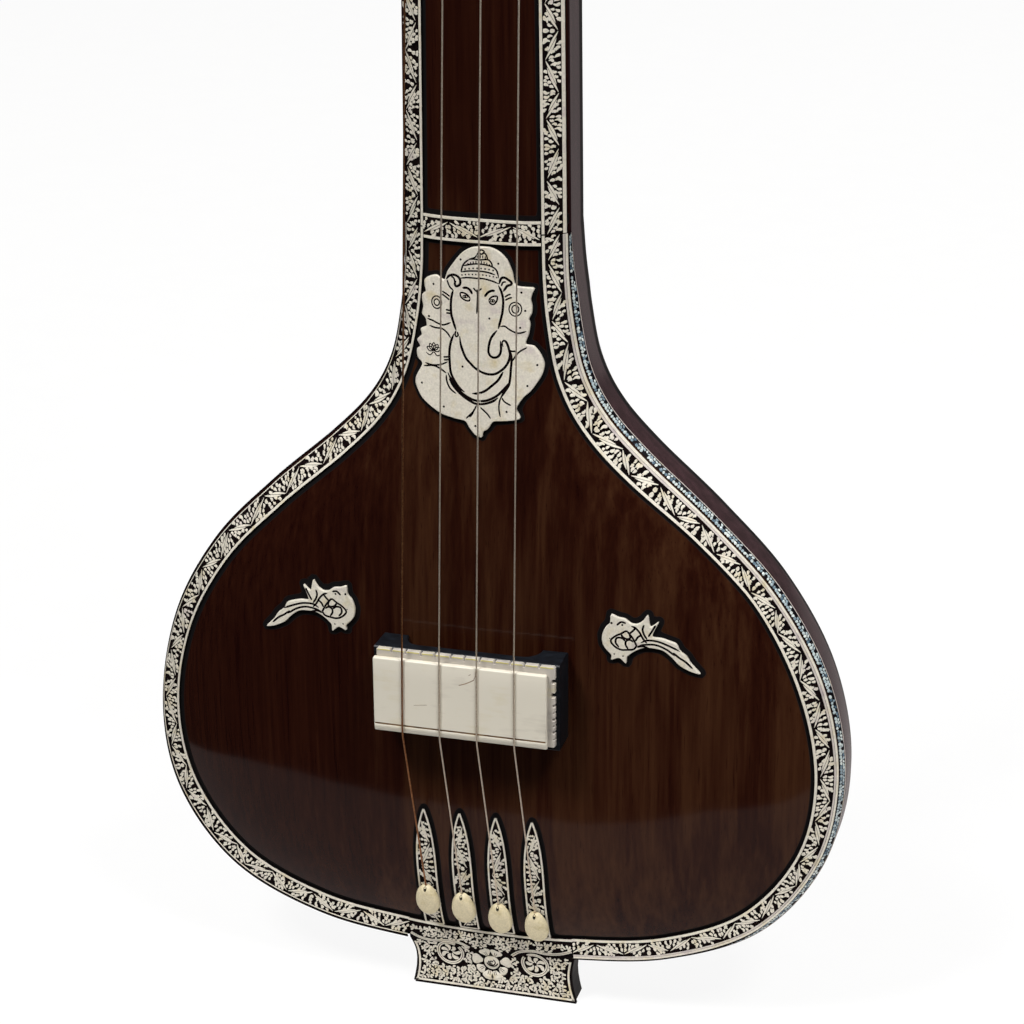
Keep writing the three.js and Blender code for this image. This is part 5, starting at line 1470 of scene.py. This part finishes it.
# Strings: one of bronze and three of steel, each from a pin on the tail, through its bead, over the bridge
# and the nut, through the guide and three turns round its peg
string_widths = [0.7, 0.6, 0.6, 0.6]
bridge_xs = [-2.9 + (i - 1.5) * 14.75 for i in range(4)]
nut_xs = [3.8 + (i - 1.5) * 12.6 for i in range(4)]
pin_xs = [-1.1 + (i - 1.5) * 14.7 for i in range(4)]
bead_heights = [tail_drop + 16.9 + 7.5 * share for share in (1, 0.733, 0.28, 0)]
pin_heights = [height - 4 for height in bead_heights]
pin_head, string_sides = 1.35, 12
pin_seats = [float(face_depth([x], [z + pin_head])[0]) - 1.2 for x, z in zip(pin_xs, pin_heights)]
bridge_edge = bridge_top + 0.5 - 0.3 - 0.35
string_lip = 4.0


def head_front(x):
    return float(front_depth(np.array(body_top), 1 - abs(x) / neck_top_half))


nut_top = head_front(0) - 9.4
guide_height = body_top + neck_length + 12
guide_string = head_front(0) - 7.6
collar_seat = neck_top_half + neck_chamfer + 0.3
peg_radius = 4.5


def winding_radius(i):
    return peg_radius + 0.3 + string_widths[i] / 2


def peg_height(k):
    return body_top + neck_length + 32 + 32 * k


peg_front = head_front(0) - 0.4
peg_spots = np.array([
    [(-collar_seat, 6.0, peg_height(0)), (-1.0, 0, 0)],
    [(nut_xs[1] - winding_radius(1), peg_front, peg_height(2)), (0, -1.0, 0)],
    [(nut_xs[2] - winding_radius(2), peg_front, peg_height(3)), (0, -1.0, 0)],
    [(collar_seat, 6.0, peg_height(1)), (1.0, 0, 0)],
])


def pull_point(i, z):
    share = (z - pin_heights[i]) / (bridge_foot - pin_heights[i])
    return np.array([blend(pin_xs[i], bridge_xs[i], share), blend(pin_seats[i] - 1.5, bridge_edge, share), z])


def string_run(i):
    lie = 0.3 + string_widths[i] / 2
    x_head = blend(bridge_xs[i], nut_xs[i], bridge_length / (nut_middle - bridge_foot))
    spot, out = peg_spots[i]
    first = np.array([0, -1.0, 0]) if i in (0, 3) else np.array([1.0, 0, 0])
    up = np.array([0, 0, 1.0])
    run = [
        pull_point(i, pin_heights[i] + pin_head - 0.4), pull_point(i, bridge_foot),
        (bridge_xs[i], bridge_top - lie, bridge_foot + string_lip), (x_head, bridge_top - lie, bridge_head),
        (nut_xs[i], nut_top - lie, nut_middle - 2), (nut_xs[i], nut_top - lie, nut_middle + 2),
        (nut_xs[i], guide_string, guide_height - 1.5), (nut_xs[i], guide_string, guide_height + 1.5),
    ]
    start = 2 + 0.6 + string_widths[i]
    for k in range(3 * 24 + 1):
        turn = 2 * math.pi * k / 24
        run.append(spot + out * (start + (string_widths[i] + 0.5) * (3 - k / 24))
                   + winding_radius(i) * (first * math.cos(turn) + up * math.sin(turn)))
    return np.array(run)


def tube(name, run, radius, sides, finish, slot, stands_for=()):
    """A round wire along a run of points."""
    run = np.asarray(run, float)
    ahead = np.gradient(run, axis=0)
    ahead /= np.linalg.norm(ahead, axis=1)[:, None]
    side = np.array([1.0, 0, 0])
    rings = []
    for point, way in zip(run, ahead):
        side = side - way * (side @ way)
        side /= np.linalg.norm(side)
        other = np.cross(way, side)
        for k in range(sides):
            turn = 2 * math.pi * k / sides
            rings.append(point + radius * (side * math.cos(turn) + other * math.sin(turn)))
    rings = np.reshape(rings, (len(run), sides, 3))
    ring_piece(name, rings, finish, slot, ends=True, stands_for=stands_for, crease=70)


# Drawn wire: bright steel, or bronze gone brown, with fine draw marks (drawn 0.5 mm apart)
def wire_finish(name, bright, dull, roughness):
    return grain_over(new_finish(name, roughness, metallic=1.0), (1800, 1800, 1800), 2.0,
                      [(0.35, dull), (0.7, bright)])


steel_wire = wire_finish("drawn_steel", "#f3e9da", "#d3c4ae", 0.5)
bronze_wire = wire_finish("drawn_bronze", "#b88458", "#7c5138", 0.4)
for i in range(4):
    wire, slot = (steel_wire, "steel_string") if i else (bronze_wire, "bronze_string")
    tube(f"wire_{i + 1}", string_run(i), string_widths[i] / 2, string_sides, wire, slot, [f"string_{i + 1}"])

# Hitch pins: turned brass with a small flat head, driven through the leaf strips into the wood below
# the beads; the solids stay as they are and take the brass
brass = wire_finish("turned_brass", "#c9a35e", "#8a6a3a", 0.32)
dress(brass, *(f"hitch_pin_{i + 1}" for i in range(4)))

# Tuning beads: flat ovals of bone, filed and polished, each with a small hole through its head where the
# string comes out; they slide on the strings to trim the pitch
bead_width, bead_length = 9.8, 15.5
bead_crown, bead_back = 2.6, 0.55
bead_bone = celluloid_finish("filed_bone", "#d5c8a6", "#bdad82", "#c9bda0", 0.4)
bead_hole, bead_groove, bead_end = 0.75, 0.45, 0.97
bead_rise = [(0.0, 1.0), (0.25, 1.0), (0.48, 0.985), (0.66, 0.93), (0.8, 0.82), (0.9, 0.66), (0.955, 0.48),
             (0.985, 0.3), (1.0, 0.12)]


def bead_front(x, z):
    """Depth of a bead's crown at a place on it, seen from the front."""
    reach = np.hypot(np.asarray(x) / (bead_width / 2), np.asarray(z) / (bead_length / 2))
    return bead_back - np.interp(reach, *np.transpose(bead_rise)) * (bead_crown + bead_back)


def bead_loop(share):
    """The egg-shaped bead's outline at a share of its length, with the groove for the string in its back."""
    half = bead_width / 2 * math.sqrt(1 - share**2)
    across = half * np.sin(np.linspace(-math.pi / 2, math.pi / 2, 21))
    z = share * bead_length / 2
    loop = [(x * (1 - 0.1 * share), y, z) for x, y in zip(across, bead_front(across, z))]
    flat_half = 0.9 * half * (1 - 0.1 * share)
    back = [(flat_half, bead_back), (bead_groove, bead_back), (bead_groove, -bead_groove)]
    return loop + [(x, y, z) for x, y in back] + [(-x, y, z) for x, y in back[::-1]]


bead_loops = [bead_loop(share) for share in np.sin(np.linspace(-1, 1, 33) * math.asin(bead_end))]
# The hole is not cut: a thin black disc on the crown stands for it, painted shade where the hole goes in
hole_loops = []
for radius, height in ((0.0, 0.02), (bead_hole * 0.95, 0.02), (bead_hole, -0.05)):
    round_hole = oval(np.arange(16) * math.pi / 8, radius * 0.8, radius * 1.2) + (0, bead_length * 0.425)
    hole_loops.append([(x, float(bead_front(x, z)) - height - 0.03, z) for x, z in round_hole])
for i in range(4):
    low, high = pull_point(i, pin_heights[i]), pull_point(i, bridge_foot)
    way = (high - low) / np.linalg.norm(high - low)
    tilt = Matrix.Rotation(math.atan2(way[0], math.hypot(way[1], way[2])), 3, "Y")
    tilt = np.array(tilt @ Matrix.Rotation(math.atan2(-way[1], way[2]), 3, "X"))
    centre = pull_point(i, bead_heights[i])
    ring_piece(f"bead_{i + 1}_body", np.array(bead_loops) @ tilt.T + centre, bead_bone, "bead", ends=True,
               body=f"bead_{i + 1}", stands_for=[f"tuning_bead_{i + 1}"], crease=60)
    ring_piece(f"bead_{i + 1}_hole", np.array(hole_loops) @ tilt.T + centre, filler, "bead",
               body=f"bead_{i + 1}")

# Nut and string guide: two upright bars of the same polished bone, glued across the neck's face and the
# head, which lead the strings to their pegs; the solids stay as they are
dress(bone, "nut", "string_guide")

# Pegs: turned from rosewood, waxed, with ringed necks, ribbed knobs and a bone button on the end; each sits
# in a bone collar and turns to tune its string
peg_wood = grain_over(new_finish("waxed_rosewood", 0.16, 0.1), (330, 330, 12), 4.0,
                      [(0.35, "#2a120c"), (0.7, "#4a2517")], 0.05, 0.0002)
peg_tip_radius, peg_depth, neck_of_peg, knob_length, knob_radius = 3.9, 25.0, 11.0, 25.0, 10.5
peg_sides = 48
knob_line = [
    (0.42, 0), (0.62, 0.05), (0.66, 0.09), (0.6, 0.14), (0.66, 0.19), (0.84, 0.28), (0.95, 0.36), (1, 0.45),
    (1, 0.55), (0.96, 0.66), (0.86, 0.76), (0.7, 0.85), (0.5, 0.91), (0.34, 0.93),
]
button_line = [(0.34, 0.93), (0.36, 0.955), (0.3, 0.985), (0.16, 0.998), (0, 1)]


def turned_piece(name, profile, spot, out, finish, slot, body, stands_for=(), lobe_depth=0.0):
    """A turned shape along the way out of the head; eight lobes flute its widest part."""
    first = np.array([0, 0, 1.0])
    second = np.cross(out, first)
    rings = []
    for radius, along in profile:
        wide = np.clip((radius - 0.62 * knob_radius) / (0.38 * knob_radius), 0, 1)
        ring = []
        for turn in np.arange(peg_sides) * 2 * math.pi / peg_sides:
            r = radius * (1 - lobe_depth * wide * (0.5 + 0.5 * math.cos(8 * turn)))
            ring.append(spot + out * along + r * (first * math.cos(turn) + second * math.sin(turn)))
        rings.append(ring)
    ring_piece(name, rings, finish, slot, body=body, stands_for=stands_for, crease=50)


def on_knob(line):
    return [(r * knob_radius, neck_of_peg + h * knob_length) for r, h in line]


shaft = [(0, -peg_depth), (peg_tip_radius, -peg_depth), (peg_radius, 0), (peg_radius, neck_of_peg - 0.4)]
knob = on_knob(knob_line)
fine_knob = [knob[0]]
for a, b in zip(knob, knob[1:]):
    fine_knob += [(blend(a[0], b[0], w), blend(a[1], b[1], w)) for w in (0.5, 1)]
for i, (spot, out) in enumerate(peg_spots):
    peg = f"peg_{i + 1}"
    turned_piece(f"{peg}_turned", shaft + fine_knob, spot, out, peg_wood, "black_wood", peg, [peg], 0.09)
    turned_piece(f"{peg}_button", on_knob(button_line), spot, out, bone, "bone", peg)
    dress(bone, f"peg_collar_{i + 1}")

# Inside: end blocks, linings and braces of sawn spruce, glued to the shell and under the soundboard, pale
# and matt, with growth rings 1.5 mm apart; the solids stay as they are
spruce = grain_over(new_finish("sawn_spruce", 0.75, 0.3), (20, 660, 20), 3.0,
                    [(0.4, "#8a6236"), (0.7, "#c49a66")])
dress(spruce, "neck_block", "tail_inner_block", "lining_right", "lining_left", "brace_lower", "brace_upper")


# Floor: matt white paper, which ends a hand's breadth in front of the instrument, as its reflection in the
# lower part of the face shows; it looks white to the camera and keeps a soft shadow, and in reflections
# it shows a glow of painted light
def paper_finish(name, level):
    material, tree, shader, place = finish = new_finish(name, 0.9, 0.1)
    grain_over(finish, (40, 40, 40), 3.0, [(0.3, "#e6e4e2"), (0.7, "#ecebe9")])
    glow = add_node(tree, "Emission", {"Color": (1, 1, 1, 1), "Strength": 1.0})
    path = add_node(tree, "LightPath")
    seen = add_node(tree, "Math", {"operation": "MULTIPLY", 1: level}, {0: path.outputs["Is Camera Ray"]})
    both = add_node(tree, "MixShader", links={0: seen, 1: shader, 2: glow})
    # In reflections the paper glows with painted light instead: dim straight behind the instrument, as
    # painted shade, and paler to its right, as a painted pool of light
    parts = add_node(tree, "SeparateXYZ", links={"Vector": place})
    slant = add_node(tree, "Math", {"operation": "DIVIDE"}, {0: parts.outputs["X"], 1: parts.outputs["Y"]})
    pale = add_node(tree, "MapRange", {"interpolation_type": "SMOOTHSTEP", "From Min": 0.02, "From Max": 0.4,
                                       "To Min": 0.04, "To Max": 0.5}, {"Value": slant})
    behind = add_node(tree, "MapRange", {"From Min": 0.03, "From Max": 0.16}, {"Value": parts.outputs["Y"]})
    level_seen = add_node(tree, "Mix", {"data_type": "FLOAT", 2: 0.62}, {0: behind, 3: pale})
    mirror = add_node(tree, "Emission", {"Color": linear("#fff6f4")}, {"Strength": level_seen})
    both = add_node(tree, "MixShader", links={0: path.outputs["Is Glossy Ray"], 1: both, 2: mirror})
    link_in(next(node for node in tree.nodes if node.type == "OUTPUT_MATERIAL"), {"Surface": both})
    return material


floor_back, floor_side = 4.0, 4.0
floor_edge = [
    (-floor_side, 0.9), (-0.6, 0.55), (-0.45, 0.27), (-0.35, 0.07), (-0.282, -0.047), (-0.211, -0.116),
    (-0.154, -0.148), (-0.109, -0.157), (-0.03, -0.156), (0.01, -0.15), (0.05, -0.158), (0.1, -0.166),
    (0.14, -0.163), (0.2, -0.156), (0.3, -0.162), (floor_side, -0.16),
]
paper = paper_finish("white_paper_with_painted_glow", 0.9)
floor_mesh = bpy.data.meshes.new("floor")
edge_x = np.r_[-floor_side, np.linspace(-0.6, 0.4, 120), floor_side]
edge_y = np.interp(edge_x, [x for x, _ in floor_edge], [y for _, y in floor_edge])
floor_points = [(x, y, 0.0) for x, y in zip(edge_x, edge_y)] + [(x, floor_back, 0.0) for x in edge_x]
edge_count = len(edge_x)
floor_mesh.from_pydata(floor_points, [], [(i, i + 1, edge_count + i + 1, edge_count + i)
                                          for i in range(edge_count - 1)])
floor = bpy.data.objects.new("floor", floor_mesh)
bpy.context.scene.collection.objects.link(floor)
floor.data.materials.append(paper)

# Light: a wide soft lamp high on each side in front, a weaker one behind, and a room that is white behind
# the instrument and dim in front of it
lamps = [
    ("lamp_left", (-0.75, -1.15, 2.1), 0.5, 46.0), ("lamp_right", (1.0, -0.85, 2.0), 0.5, 34.0),
    ("lamp_back", (0.3, 1.6, 1.7), 1.2, 14.0),
]
for name, spot, size, power in lamps:
    lamp_data = bpy.data.lights.new(name, "AREA")
    lamp_data.size = size
    lamp_data.energy = power
    lamp = bpy.data.objects.new(name, lamp_data)
    bpy.context.scene.collection.objects.link(lamp)
    lamp.location = spot
    aim = Vector((0, 0, 0.25)) - Vector(spot)
    lamp.rotation_euler = aim.to_track_quat("-Z", "Y").to_euler()

world = bpy.data.worlds.new("studio")
bpy.context.scene.world = world
world.use_nodes = True
sky = world.node_tree
sky.nodes.clear()
way = add_node(sky, "TexCoord").outputs["Generated"]
parts = add_node(sky, "SeparateXYZ", links={"Vector": way})
room = add_node(sky, "MapRange", {"interpolation_type": "SMOOTHSTEP", "From Min": -0.15, "From Max": 0.25,
                                  "To Min": 0.05, "To Max": 0.22}, {"Value": parts.outputs["Y"]})
high = add_node(sky, "MapRange", {"interpolation_type": "SMOOTHSTEP", "From Min": 0.6, "From Max": 0.95,
                                  "To Min": 0.0, "To Max": 0.7}, {"Value": parts.outputs["Z"]})
room_sum = add_node(sky, "Math", {"operation": "MAXIMUM"}, {0: room, 1: high})
room_light = add_node(sky, "Background", {"Color": (1, 1, 1, 1)}, {"Strength": room_sum})
white = add_node(sky, "Background", {"Color": (1, 1, 1, 1), "Strength": 1.0})
path = add_node(sky, "LightPath")
seen = add_node(sky, "Math", {"operation": "MAXIMUM"},
                {0: path.outputs["Is Camera Ray"], 1: path.outputs["Is Transmission Ray"]})
backdrop = add_node(sky, "MixShader", links={0: seen, 1: room_light, 2: white})
add_node(sky, "OutputWorld", links={"Surface": backdrop})
bpy.context.scene.view_settings.view_transform = "Standard"
